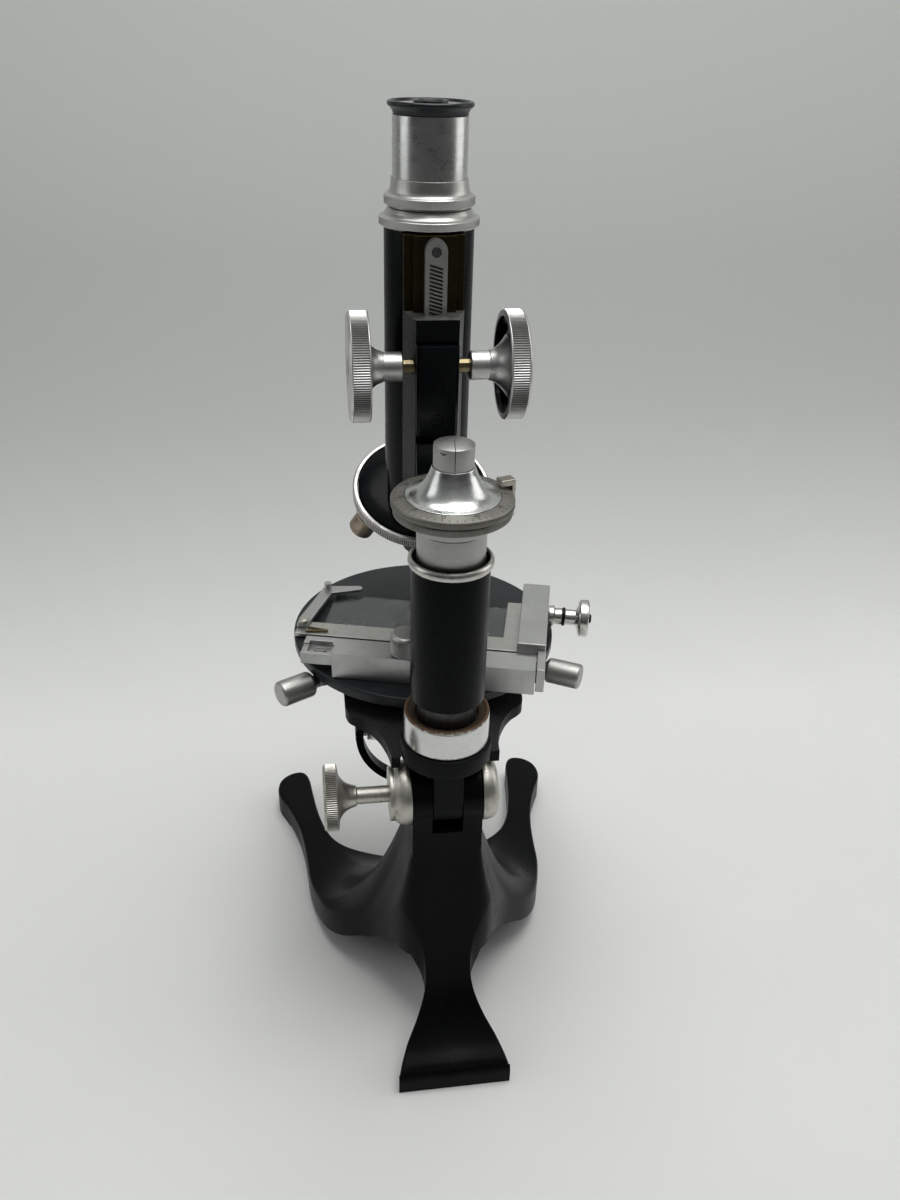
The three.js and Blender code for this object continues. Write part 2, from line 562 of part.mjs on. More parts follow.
// ---- Body tube, slide and rack -------------------------------------------------------------------
const tubeBottom = NOSE_Z + 14;
const tubeAxis = (body) => body.translate([0, OPTIC_Y, 0]);
add("body_tube", tubeAxis(ring(TUBE_R - 1.2, TUBE_R, tubeBottom, TUBE_TOP_Z)), JAPAN);
const slidePlate = plate(
  mirrored([
    [0, RACK_BACK_Y + 0.05], [DOVETAIL_HALF + 0.9, RACK_BACK_Y + 0.05],
    [DOVETAIL_HALF - 0.3, HEAD_FRONT_Y + RUN], [SLIDE_HALF, HEAD_FRONT_Y + RUN],
    [SLIDE_HALF, OPTIC_Y - 10], [0, OPTIC_Y - 10],
  ]),
  tubeBottom + 2, TUBE_TOP_Z,
);
const tubeRoom = tubeAxis(rod(TUBE_R + SEAT, tubeBottom - 10, TUBE_TOP_Z + 10, SIDES));
add("dovetail_slide", slidePlate.subtract(tubeRoom), BRONZE);

const rackTop = TUBE_TOP_Z - 0.4;
const rackBottom = tubeBottom + 6;
const rackOutline = [
  [-RACK_HALF, rackBottom], [RACK_HALF, rackBottom], ...arc(0, rackTop - RACK_HALF, RACK_HALF, 0, 180, 8),
];
let rackBody = plate(rackOutline, -RACK_BACK_Y, -RACK_FACE_Y).rotate([90, 0, 0]);
const rackToothTop = rackTop - 7.2;
/** Slanting gap between two teeth of the rack, centred at height z. */
const toothGap = (z) => {
  const mouth = 0.36 * PITCH;
  const foot = 0.2 * PITCH;
  const deep = RACK_FACE_Y + TOOTH_H + 0.05;
  const open = RACK_FACE_Y - 0.4;
  const points = [];
  for (const x of [-2.25, 2.25]) {
    const lift = z - x * TOOTH_SLOPE;
    points.push(x, open, lift - mouth, x, open, lift + mouth, x, deep, lift + foot, x, deep, lift - foot);
  }
  const geometry = new THREE.BufferGeometry();
  geometry.setAttribute("position", new THREE.BufferAttribute(Float32Array.from(points), 3));
  geometry.setIndex([0, 1, 2, 0, 2, 3, 4, 6, 5, 4, 7, 6, 0, 4, 5, 0, 5, 1, 1, 5, 6, 1, 6, 2, 2, 6, 7, 2, 7, 3,
    3, 7, 4, 3, 4, 0]);
  return solid(geometry);
};
for (let z = PINION_Z; z < rackToothTop - 1.4; z += PITCH) rackBody = rackBody.subtract(toothGap(z));
for (let z = PINION_Z - PITCH; z > rackBottom + 1.6; z -= PITCH) rackBody = rackBody.subtract(toothGap(z));
const rackScrewZ = rackTop - 4.2;
rackBody = rackBody.subtract(alongY(rod(1.75, -1, 0.9)).translate([0, RACK_FACE_Y, rackScrewZ]));
add("rack", rackBody, STEEL);
add(
  "rack_screw",
  alongY(rod(1.6, 0.25, 0.8)).subtract(block(-3, 3, 0, 0.5, -0.25, 0.25))
    .translate([0, RACK_FACE_Y, rackScrewZ]),
  STEEL,
);
add(
  "tube_collar",
  tubeAxis(turned([
    [DRAW_R + RUN, TUBE_TOP_Z + SEAT], [TUBE_R + 0.1, TUBE_TOP_Z + SEAT],
    [TUBE_R + 1.7, TUBE_TOP_Z + 0.9], [TUBE_R + 1.7, TUBE_TOP_Z + 3.4],
    [TUBE_R - 0.4, TUBE_TOP_Z + 4.6], [TUBE_R - 1.5, TUBE_TOP_Z + 6.3], [DRAW_R + RUN, TUBE_TOP_Z + 6.3],
  ])),
  CHROME,
);
const drawCollarZ = TUBE_TOP_Z + 6.3 + SEAT;
add(
  "draw_collar",
  tubeAxis(turned([
    [DRAW_R + RUN, drawCollarZ], [DRAW_R + 1.1, drawCollarZ], [DRAW_R + 2.9, drawCollarZ + 1.2],
    [DRAW_R + 2.9, drawCollarZ + 4], [DRAW_R + 1.3, drawCollarZ + 5.4], [DRAW_R + 0.45, drawCollarZ + 9.4],
    [DRAW_R + RUN, drawCollarZ + 9.4],
  ])),
  CHROME,
);
const drawBottom = drawCollarZ - 66;
add("draw_tube", tubeAxis(ring(DRAW_R - 1.1, DRAW_R, drawBottom, DRAW_TOP_Z)), CHROME);

// ---- Eyepiece -------------------------------------------------------------------------------------
const EYE_R = DRAW_R - 1.1 - RUN;
const eyeTop = DRAW_TOP_Z + SEAT + 4;
add(
  "eyepiece_cap",
  tubeAxis(turned([
    [4.2, eyeTop - 3.4], [EYE_R - 1.3, eyeTop - 3.4], [EYE_R - 1.3, DRAW_TOP_Z + SEAT],
    [DRAW_R - 0.3, DRAW_TOP_Z + SEAT], [DRAW_R + 0.6, eyeTop - 1.9], [DRAW_R + 1.6, eyeTop - 1.3],
    [DRAW_R + 1.6, eyeTop - 0.4], [DRAW_R + 1.2, eyeTop], [DRAW_R + 0.2, eyeTop],
    [DRAW_R - 0.5, eyeTop - 0.9], [5.8, eyeTop - 0.9], [5.8, eyeTop + 0.2], [4.2, eyeTop + 0.2],
  ])),
  EBONITE,
);
add(
  "eyepiece_tube",
  tubeAxis(turned([
    [EYE_R - 1.2, DRAW_TOP_Z - 40], [EYE_R, DRAW_TOP_Z - 40], [EYE_R, DRAW_TOP_Z - 0.5],
    [EYE_R - 1.2, DRAW_TOP_Z - 0.5],
  ])),
  BRASS,
);
add(
  "eye_lens",
  tubeAxis(turned([[0, eyeTop - 3.2], [4.05, eyeTop - 3.2], [4.05, eyeTop - 1.6], [2.4, eyeTop - 0.9],
    [0, eyeTop - 0.6]], FEW)),
  GLASS,
);
add(
  "field_lens",
  tubeAxis(turned([
    [0, DRAW_TOP_Z - 38.5], [EYE_R - 1.3, DRAW_TOP_Z - 38.5], [EYE_R - 1.3, DRAW_TOP_Z - 37],
    [6, DRAW_TOP_Z - 35.5], [0, DRAW_TOP_Z - 34.9],
  ], FEW)),
  GLASS,
);

// ---- Nosepiece ------------------------------------------------------------------------------------
const NOSE_Y = OPTIC_Y + NOSE_AHEAD;
/** Lays a piece turned about its own axis on the leaning revolver axis. */
const lean = (body) =>
  body.rotate([THREE.MathUtils.radToDeg(NOSE_TILT), 0, 0]).translate([0, NOSE_Y, NOSE_Z]);
const PLATE_R = REVOLVER_R - 2.3;
const opticBore = tubeAxis(rod(8.5, NOSE_Z - 40, NOSE_Z + 30, FEW));
const plateDome = lean(turned([
  [0, -3.4], [PLATE_R - 0.8, -3.4], [PLATE_R, -2.6], [PLATE_R, -0.6], [PLATE_R - 1, 0.2], [PLATE_R - 6, 1.7],
  [PLATE_R - 13, 2.7], [0, 3.2],
]));
const plateNeck = tubeAxis(rod(TUBE_R - 0.8, NOSE_Z - 5, tubeBottom - SEAT, SIDES));
const noseBelow = lean(block(-60, 60, -60, 60, -60, -3.4));
add(
  "nosepiece_plate",
  plateDome.add(plateNeck.subtract(noseBelow)).subtract(opticBore)
    .subtract(lean(rod(3.4, -5, 2, FEW))),
  JAPAN,
);
/** Lays a piece turned about the optical axis below the plate at one station of the revolver. */
const atStation = (body, deg) => {
  const upright = body.rotate([THREE.MathUtils.radToDeg(-NOSE_TILT), 0, 0]);
  return lean(upright.translate([0, -NOSE_RING_R, 0]).rotate([0, 0, deg]));
};
const STATION_DEG = [0, -90, 90, 180];
let shell = lean(turned([
  [0, -9.4], [11, -9.4], [REVOLVER_R - 3, -6.4], [REVOLVER_R, -4.2], [REVOLVER_R, -0.4],
  [REVOLVER_R - 0.6, 0.1], [PLATE_R + 0.4, 0.1], [PLATE_R + 0.4, -3.4 - WALK],
  [3, -3.4 - WALK], [3, 0.8], [0, 0.8],
], 32));
const bossLow = -12.2;
for (const deg of STATION_DEG) {
  shell = shell.add(atStation(rod(8.6, bossLow, -6.4, FEW), deg));
}
const topTrim = lean(rod(REVOLVER_R - 4, -3.4 - WALK, 4, SIDES).subtract(rod(3, -12, 12, FEW)));
shell = shell.subtract(topTrim);
for (const deg of STATION_DEG) {
  shell = shell.subtract(atStation(rod(5.8, -30, 10, FEW), deg));
}
add("revolver_shell", shell, SATIN);

/** Objective hung from the mounting face, given its [radius, depth below the face] outline. */
function objective(profile) {
  const outer = profile.map(([r, depth]) => [r, bossLow - SEAT - depth]);
  const deepest = outer[outer.length - 1][1];
  return turned([
    [4.6, bossLow + 3], [5.35, bossLow + 3], [5.35, bossLow - SEAT], ...outer, [2.2, deepest],
    [4.6, deepest + 4],
  ], 18);
}
add("objective_active", atStation(objective([[8.9, 0.01], [8.9, 3.4], [7.6, 3.8], [6.8, 6.2]]), 0), EBONITE);
const midPower = [
  [7.8, 0.01], [7.8, 4.2], [6.3, 4.6], [6.3, 6.2], [6.9, 6.6], [5.3, 9.2], [5.3, 16.4], [4.6, 17],
];
const highPower = [[8, 0.01], [8, 4.4], [6.4, 5], [6.4, 9.4], [5.4, 10.2], [5.4, 17.5], [3.4, 20.4]];
add("objective_left", atStation(objective(midPower), -90), OLD_NICKEL);
add("objective_right", atStation(objective(highPower), 90), OLD_NICKEL);
add("objective_front", atStation(objective(midPower), 180), NICKEL);

// ---- Stage, its carrier and the centring screws -----------------------------------------------------
const screwDir = [[-180 + CENTRING_DEG, "centring_screw_left"], [-CENTRING_DEG, "centring_screw_right"]];
/** Lays a piece turned about Z along a horizontal spoke from the optical axis. */
const spoke = (body, deg) => alongX(body).rotate([0, 0, deg]).translate([0, OPTIC_Y, CENTRING_Z]);
let carrier = tubeAxis(
  turned([
    [SUBSTAGE_R - 2, BRACKET_Z - 5], [SUBSTAGE_R, BRACKET_Z - 5], [SUBSTAGE_R, CARRIER_Z],
    [CARRIER_R - 1, CARRIER_Z], [CARRIER_R, CARRIER_Z + 1], [CARRIER_R, CARRIER_TOP_Z],
    [SUBSTAGE_R - 2, CARRIER_TOP_Z],
  ], 32),
);
for (const [deg] of screwDir) {
  carrier = carrier.add(spoke(rod(3.1, CARRIER_R - 9, CARRIER_R + 3.2, FEW), deg))
    .subtract(spoke(rod(1.8, CARRIER_R - 17, CARRIER_R + 13, FEW), deg));
}
add("stage_carrier", carrier, JAPAN);
for (const [deg, name] of screwDir) {
  add(
    name,
    spoke(turned([
      [0, CARRIER_R - 13], [1.6, CARRIER_R - 13], [1.6, CARRIER_R + 3.5], [2.7, CARRIER_R + 3.5],
      [2.7, STAGE_R - 0.6], [4.8, STAGE_R + 1], [5.2, STAGE_R + 1.7], [5.2, STAGE_R + 14.2],
      [4.7, STAGE_R + 15], [0, STAGE_R + 15],
    ], 16), deg),
    SATIN,
  );
}
const discZ = STAGE_TOP_Z - STAGE_THICK;
const discProfile = [
  [13, discZ], [STAGE_R - 0.5, discZ], [STAGE_R, discZ + 0.5], [STAGE_R, STAGE_TOP_Z - 0.5],
  [STAGE_R - 0.5, STAGE_TOP_Z], [13, STAGE_TOP_Z],
];
add("stage_disc", tubeAxis(turned(discProfile, 40)), EBONITE);

// ---- Slide mover on the stage ------------------------------------------------------------------------
/** Places a piece drawn in the mover's axes: u along the bar, v forwards, from the stage centre. */
const onStage = (body) =>
  body.rotate([0, 0, THREE.MathUtils.radToDeg(TURN_STAGE)]).translate([0, OPTIC_Y, 0]);
const BAR = { u0: -30, u1: 49, v0: -45, v1: -35 };
const channel = { v0: -41.2, z0: BAR_TOP_Z - 8.4, z1: BAR_TOP_Z - 3.2 };
const DRUM_U = -1.6;
const DRUM_V = -40;
add(
  "cross_bar",
  onStage(
    block(BAR.u0, BAR.u1, BAR.v0, BAR.v1, STAGE_TOP_Z + SEAT, BAR_TOP_Z)
      .subtract(block(BAR.u0 - 1, BAR.u1 + 1, channel.v0, BAR.v1 + 1, channel.z0, channel.z1))
      .subtract(rod(2.4, channel.z1 - 1, BAR_TOP_Z + 1, FEW).translate([DRUM_U, DRUM_V, 0])),
  ),
  SATIN,
);
add(
  "x_drum",
  onStage(turned([
    [0, channel.z1 + 0.3], [2.2, channel.z1 + 0.3], [2.2, BAR_TOP_Z + WALK], [5.6, BAR_TOP_Z + WALK],
    [5.9, BAR_TOP_Z + 0.8], [5.9, BAR_TOP_Z + 8.6], [5.4, BAR_TOP_Z + 9.1], [0, BAR_TOP_Z + 9.4],
  ], 20).translate([DRUM_U, DRUM_V, 0])),
  SATIN,
);
const railZ0 = channel.z0 + RUN;
const railZ1 = channel.z1 - RUN;
const RAIL_U0 = -43.4;
const RAIL_U1 = 52.6;
const railBackV = -29.6;
const slidePlaneZ = HOLDER_TOP_Z + 0.4;
const blockU0 = 41;
const BLOCK = { v0: railBackV + 0.6, v1: 20, z1: STAGE_TOP_Z + 13 };
const rail = block(RAIL_U0, RAIL_U1, channel.v0 + RUN, BAR.v1 + 0.2, railZ0, railZ1)
  .add(block(RAIL_U0, RAIL_U1, BAR.v1 + 0.2, railBackV, railZ0, BAR_TOP_Z - 2.4))
  .subtract(block(RAIL_U0 + 2.4, RAIL_U0 + 11.6, channel.v0 + 2.2, BAR.v1 + 2.2, railZ1 - 1.6, BAR_TOP_Z))
  .add(block(BAR.u1 + WALK, RAIL_U1, BAR.v0 + 1.6, railBackV, BAR_TOP_Z - 10.6, BAR_TOP_Z - 0.4))
  .add(block(blockU0, RAIL_U1, railBackV - 1, BLOCK.v0 + 2, slidePlaneZ + 0.6, BAR_TOP_Z - 2.4));
add("x_rail", onStage(rail.subtract(block(blockU0 - 1, RAIL_U1 + 1, BLOCK.v0 - SEAT, 60, 100, 200))), SATIN);
const ovalSeat = [RAIL_U0 + 7, -36.2];
add(
  "rail_screw",
  onStage(rod(1.9, railZ1 - 1.6 + SEAT, railZ1 - 0.5, FEW).scale([1.35, 1, 1])
    .subtract(block(-1.6, 1.6, -0.3, 0.3, railZ1 - 0.9, railZ1)).translate([...ovalSeat, 0])),
  STEEL,
);
const yShaftZ = STAGE_TOP_Z + 6.6;
const yShaftV = 5;
const blockBody = block(blockU0, 52.4, BLOCK.v0, BLOCK.v1, slidePlaneZ, BLOCK.z1)
  .subtract(alongX(rod(2.1, 43.4, 60)).translate([0, yShaftV, yShaftZ]));
add("y_block", onStage(blockBody), SATIN);
add(
  "y_knob",
  onStage(alongX(turned([
    [0, 43.8], [1.9, 43.8], [1.9, 52.4 + WALK], [4.4, 52.4 + WALK], [4.4, 54.8], [3.5, 55.2], [3.5, 58.2],
    [3.9, 58.4], [3.9, 59.4], [3.3, 59.6], [3.3, Y_KNOB_U - 1.1], [7.4, Y_KNOB_U], [7.8, Y_KNOB_U + 0.6],
    [7.8, Y_KNOB_U + 3.6], [7.3, Y_KNOB_U + 4.1], [1.9, Y_KNOB_U + 4.1], [1.9, Y_KNOB_U + 5.3],
    [0, Y_KNOB_U + 5.3],
  ], 18)).translate([0, yShaftV, yShaftZ])),
  CHROME,
);
const holderOutline = [
  [-51.6, -18.2], [GLASS_RIGHT + 12, -18.2], [GLASS_RIGHT + 12, 21], [GLASS_RIGHT + 0.2, 21],
  [GLASS_RIGHT + 0.2, GLASS_FRONT - 0.2], [-51.6, GLASS_FRONT - 0.2],
];
const fingerPivot = [-49.2, -11.4];
add(
  "holder_plate",
  onStage(plate(holderOutline, HOLDER_Z, HOLDER_TOP_Z)
    .subtract(rod(1.3, HOLDER_Z - 1, HOLDER_TOP_Z + 1, FEW).translate([...fingerPivot, 0]))),
  STEEL,
);
const fingerZ = HOLDER_TOP_Z + 0.15;
const fingerOutline = [
  [-51.7, -13.6], [-47.6, -13.6], [-46.6, -9], [-43, 14.5], ...arc(-32.4, 20.6, 1.9, -80, 80, 5),
  [-44.6, 20.4], [-47.6, 19.4], [-48, 15.5], [-51.9, -8.6],
];
add(
  "slide_finger",
  onStage(plate(fingerOutline, fingerZ, fingerZ + 1.4)
    .add(rod(1.6, fingerZ + 0.5, fingerZ + 4.4, 16).translate([-45.4, 17.8, 0]))
    .subtract(rod(1.5, fingerZ - 1, fingerZ + 3, FEW).translate([...fingerPivot, 0]))),
  SATIN,
);
add(
  "finger_screw",
  onStage(turned([
    [0, HOLDER_Z + 0.2], [1.2, HOLDER_Z + 0.2], [1.2, fingerZ + 1.6], [2.2, fingerZ + 1.6],
    [2.2, fingerZ + 2.7], [1.7, fingerZ + 3.1], [0, fingerZ + 3.2],
  ], 16).translate([...fingerPivot, 0])),
  NICKEL,
);
const springOutline = [
  [-47.2, -17.2], [-38.4, -15.6], [-38, -15], [-38.6, -14.6], [-47, -13.4], [-47, -13.9],
  [-39.6, -15], [-39.6, -15.2], [-47.3, -16.6],
];
add("finger_spring", onStage(plate(springOutline, HOLDER_TOP_Z + 0.1, HOLDER_TOP_Z + 0.9)), BRASS);
add(
  "glass_slide",
  onStage(block(GLASS_LEFT, GLASS_RIGHT, GLASS_FRONT, GLASS_FRONT + SLIDE_GLASS[1], STAGE_TOP_Z + 0.1,
    STAGE_TOP_Z + 0.1 + SLIDE_GLASS[2])),
  GLASS,
);

// ---- Mirror -------------------------------------------------------------------------------------------
const mirrorBar = block(-5, 5, MIRROR_BAR_Y, MIRROR_BAR_Y + 5, MIRROR_BAR_Z, BRACKET_Z - SEAT)
  .add(block(-5, 5, MIRROR_BAR_Y, OPTIC_Y + 5.5, MIRROR_BAR_Z, MIRROR_BAR_Z + 4.6))
  .subtract(rod(2.6 + RUN, MIRROR_BAR_Z - 1, MIRROR_BAR_Z + 6, FEW).translate([0, OPTIC_Y, 0]));
add("mirror_bar", mirrorBar.subtract(bracketWeb), JAPAN);
const forkBand = [...arc(0, 0, FORK_R, 172, 368, 16), ...arc(0, 0, FORK_R - 3.4, 368, 172, 16)];
const fork = plate(forkBand, -3, 3).rotate([90, 0, 0])
  .add(alongX(rod(3.6, -FORK_R, -FORK_R + 3.4)))
  .add(alongX(rod(3.6, FORK_R - 3.4, FORK_R)))
  .add(rod(4.6, -FORK_R - 4.6, -FORK_R + 1.4, FEW))
  .add(rod(2.6, -FORK_R - 9.8, -FORK_R - 3, FEW))
  .subtract(alongX(rod(1.5, -FORK_R - 2, FORK_R + 2)));
add("mirror_fork", fork.translate([0, OPTIC_Y, MIRROR_Z]), JAPAN);
const CELL_R = MIRROR_R + 1.5;
const MIRROR_LEAN = -40;
const tip = (body) => body.rotate([MIRROR_LEAN, 0, 0]).translate([0, OPTIC_Y, MIRROR_Z]);
const cell = turned([
  [0, -0.8], [MIRROR_R + 0.1, -0.8], [MIRROR_R + 0.1, -3], [CELL_R, -3], [CELL_R, 3], [MIRROR_R + 0.1, 3],
  [MIRROR_R + 0.1, 0.8], [0, 0.8],
]).add(alongX(rod(1.3, -FORK_R + 1.2, -CELL_R + 1))).add(alongX(rod(1.3, CELL_R - 1, FORK_R - 1.2)));
add("mirror_cell", tip(cell), NICKEL);
add("mirror_flat", tip(rod(MIRROR_R, 0.9, 2.7, SIDES)), MIRROR);
add(
  "mirror_concave",
  tip(turned([
    [0, -0.9], [MIRROR_R, -0.9], [MIRROR_R, -2.8], [MIRROR_R * 0.66, -2.2],
    [MIRROR_R * 0.33, -1.85], [0, -1.75],
  ])),
  MIRROR,
);

// The foot's footprint centre at table height is the part's own origin.
const bounds = new THREE.Box3().setFromObject(root);
const middle = bounds.getCenter(new THREE.Vector3());
for (const piece of root.children) piece.geometry.translate(-middle.x, -middle.y, -bounds.min.z);

export default root;
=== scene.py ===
"""Looks of a monocular microscope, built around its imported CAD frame.

Sizes are in millimetres on the bench drawing, whose pillar stands at x = 0, y = 0 with the foot
on z = 0. Every mesh is moved onto the frame's own pillar and scaled to metres as it is made.
"""

import logging
import math
from collections.abc import Callable, Iterable, Sequence
from dataclasses import dataclass, field
from enum import Enum

import bmesh
import bpy
from mathutils import Matrix, Vector
from mathutils.geometry import delaunay_2d_cdt


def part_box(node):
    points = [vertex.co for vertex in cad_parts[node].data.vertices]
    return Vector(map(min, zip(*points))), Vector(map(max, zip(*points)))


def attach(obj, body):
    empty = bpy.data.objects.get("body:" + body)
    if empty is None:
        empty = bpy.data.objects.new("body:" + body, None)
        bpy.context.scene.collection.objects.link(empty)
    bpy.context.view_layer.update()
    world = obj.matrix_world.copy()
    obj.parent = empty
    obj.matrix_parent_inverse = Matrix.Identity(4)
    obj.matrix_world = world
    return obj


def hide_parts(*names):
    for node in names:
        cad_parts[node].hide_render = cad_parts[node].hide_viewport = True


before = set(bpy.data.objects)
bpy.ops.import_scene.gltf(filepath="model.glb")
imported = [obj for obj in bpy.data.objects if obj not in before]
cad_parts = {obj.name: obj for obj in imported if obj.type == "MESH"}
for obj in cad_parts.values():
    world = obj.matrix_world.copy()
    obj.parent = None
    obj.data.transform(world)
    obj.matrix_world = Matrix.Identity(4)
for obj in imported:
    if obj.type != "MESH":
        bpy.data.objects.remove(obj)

LOG = logging.getLogger("microscope")
MM = 0.001
Pair = tuple[float, float]
Colour = tuple[float, float, float]


def centre_of(node: str) -> Vector:
    """Middle of a CAD node's box, in millimetres."""
    low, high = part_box(node)
    return (low + high) * (0.5 / MM)


@dataclass(frozen=True)
class Datum:
    """Reference axes and heights that the pieces are set out from, in millimetres."""

    pillar: Vector = field(default_factory=lambda: centre_of("pillar_sleeve").xy.to_3d())
    optic_y: float = field(
        default_factory=lambda: centre_of("stage_disc").y - centre_of("pillar_sleeve").y
    )
    hinge_z: float = field(default_factory=lambda: centre_of("hinge_cap_left").z)
    stage_z: float = field(default_factory=lambda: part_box("stage_disc")[1].z / MM)
    nose_tilt: float = math.radians(25.9)
    mover_turn: float = math.radians(-14.5)

    def to_frame(self) -> Matrix:
        """Matrix from the bench drawing in millimetres to the frame in metres."""
        return Matrix.Scale(MM, 4) @ Matrix.Translation(self.pillar)

    def optic(self, z: float = 0.0) -> Matrix:
        """Place on the optical axis at a height."""
        return Matrix.Translation((0, self.optic_y, z))

    def mover(self) -> Matrix:
        """Place of the slide mover's own axes: u along its bar, v forwards."""
        return self.optic() @ Matrix.Rotation(self.mover_turn, 4, "Z")


DATUM = Datum()


class Axis(Enum):
    """Ways a turned piece can lie."""

    X = Matrix.Rotation(math.pi / 2, 4, "Y")
    Y = Matrix.Rotation(-math.pi / 2, 4, "X")
    Z = Matrix.Identity(4)


# ---- Finishes --------------------------------------------------------------------------------


class Graph:
    """Small helper that lays out the nodes of one material."""

    def __init__(self, name: str) -> None:
        """Starts an empty material with a principled shader."""
        self.material = bpy.data.materials.new(name)
        self.material.use_nodes = True
        self.tree = self.material.node_tree
        self.shader = self.tree.nodes["Principled BSDF"]

    def node(self, kind: str, **values: object) -> bpy.types.Node:
        """Adds a node and sets its plain properties."""
        made = self.tree.nodes.new(kind)
        for key, value in values.items():
            setattr(made, key, value)
        return made

    def feed(self, socket: bpy.types.NodeSocket, value: object) -> None:
        """Links a socket to another, or sets its value."""
        if isinstance(value, bpy.types.NodeSocket):
            self.tree.links.new(value, socket)
        else:
            socket.default_value = value

    def put(self, name: str, value: object) -> None:
        """Feeds one of the shader's inputs."""
        self.feed(self.shader.inputs[name], value)

    def math(self, kind: str, a: object, b: object = 0.0, clamp: bool = False) -> object:
        """Scalar arithmetic.

        Args:
            kind: Operation name.
            a: First number or socket.
            b: Second number or socket.
            clamp: Whether the result stays within 0 to 1.

        Returns:
            The result socket.
        """
        made = self.node("ShaderNodeMath", operation=kind, use_clamp=clamp)
        self.feed(made.inputs[0], a)
        self.feed(made.inputs[1], b)
        return made.outputs[0]

    def place(self, stretch: Sequence[float] = (1, 1, 1)) -> object:
        """Object coordinates in millimetres, stretched along each axis."""
        coords = self.node("ShaderNodeTexCoord")
        scaled = self.node("ShaderNodeMapping")
        self.feed(scaled.inputs["Vector"], coords.outputs["Object"])
        scaled.inputs["Scale"].default_value = [s / MM for s in stretch]
        return scaled.outputs[0]

    def around(self, centre: Vector, axis: Axis) -> object:
        """Coordinates of a turned surface: distance from the axis, place along it, slow angle.

        Args:
            centre: A point of the axis, in frame millimetres.
            axis: Which way the axis runs.

        Returns:
            The vector socket, in millimetres.
        """
        coords = self.node("ShaderNodeTexCoord")
        moved = self.node("ShaderNodeVectorMath", operation="SUBTRACT")
        self.feed(moved.inputs[0], coords.outputs["Object"])
        moved.inputs[1].default_value = centre * MM
        parts = self.node("ShaderNodeSeparateXYZ")
        self.feed(parts.inputs[0], moved.outputs[0])
        order = {Axis.X: (1, 2, 0), Axis.Y: (2, 0, 1), Axis.Z: (0, 1, 2)}[axis]
        p, q, along = (parts.outputs[i] for i in order)
        square = self.math("ADD", self.math("MULTIPLY", p, p), self.math("MULTIPLY", q, q))
        reach = self.math("MULTIPLY", self.math("SQRT", square), 1 / MM)
        out = self.node("ShaderNodeCombineXYZ")
        self.feed(out.inputs[0], reach)
        self.feed(out.inputs[1], self.math("MULTIPLY", along, 1 / MM))
        self.feed(out.inputs[2], self.math("MULTIPLY", self.math("ADD", p, q), 0.05 / MM))
        return out.outputs[0]

    def noise(self, where: object, scale: float, detail: float = 3.0, rough: float = 0.55) -> object:
        """Noise value between 0 and 1."""
        made = self.node("ShaderNodeTexNoise")
        self.feed(made.inputs["Vector"], where)
        made.inputs["Scale"].default_value = scale
        made.inputs["Detail"].default_value = detail
        made.inputs["Roughness"].default_value = rough
        return made.outputs["Fac"]

    def cells(self, where: object, scale: float, feature: str = "F1") -> object:
        """Cell pattern distance."""
        made = self.node("ShaderNodeTexVoronoi", feature=feature)
        self.feed(made.inputs["Vector"], where)
        made.inputs["Scale"].default_value = scale
        return made.outputs["Distance"]

    def range(self, value: object, low: float, high: float, out0: float, out1: float) -> object:
        """Maps low..high to out0..out1, held at both ends."""
        made = self.node("ShaderNodeMapRange", clamp=True)
        self.feed(made.inputs["Value"], value)
        for name, number in (("From Min", low), ("From Max", high), ("To Min", out0), ("To Max", out1)):
            made.inputs[name].default_value = number
        return made.outputs[0]

    def blend(self, share: object, a: object, b: object) -> object:
        """Mixes two colours."""
        made = self.node("ShaderNodeMix", data_type="RGBA")
        self.feed(made.inputs[0], share)
        self.feed(made.inputs[6], (*a, 1.0) if isinstance(a, tuple) else a)
        self.feed(made.inputs[7], (*b, 1.0) if isinstance(b, tuple) else b)
        return made.outputs[2]

    def bump(self, height: object, depth_mm: float, under: object | None = None) -> object:
        """Bump normal from a height between 0 and 1, with its depth in millimetres."""
        made = self.node("ShaderNodeBump")
        made.inputs["Strength"].default_value = 1.0
        made.inputs["Distance"].default_value = depth_mm * MM
        self.feed(made.inputs["Height"], height)
        if under is not None:
            self.feed(made.inputs["Normal"], under)
        return made.outputs[0]


@dataclass(frozen=True)
class Finish:
    """What every finish has: a material name and a slot name."""

    name: str
    slot: str

    def lay(self, graph: Graph) -> None:
        """Wires the shader. Each kind of finish has its own."""
        raise NotImplementedError

    def material(self) -> bpy.types.Material:
        """The finish's material, made once."""
        if self.name in bpy.data.materials:
            return bpy.data.materials[self.name]
        graph = Graph(self.name)
        self.lay(graph)
        return graph.material


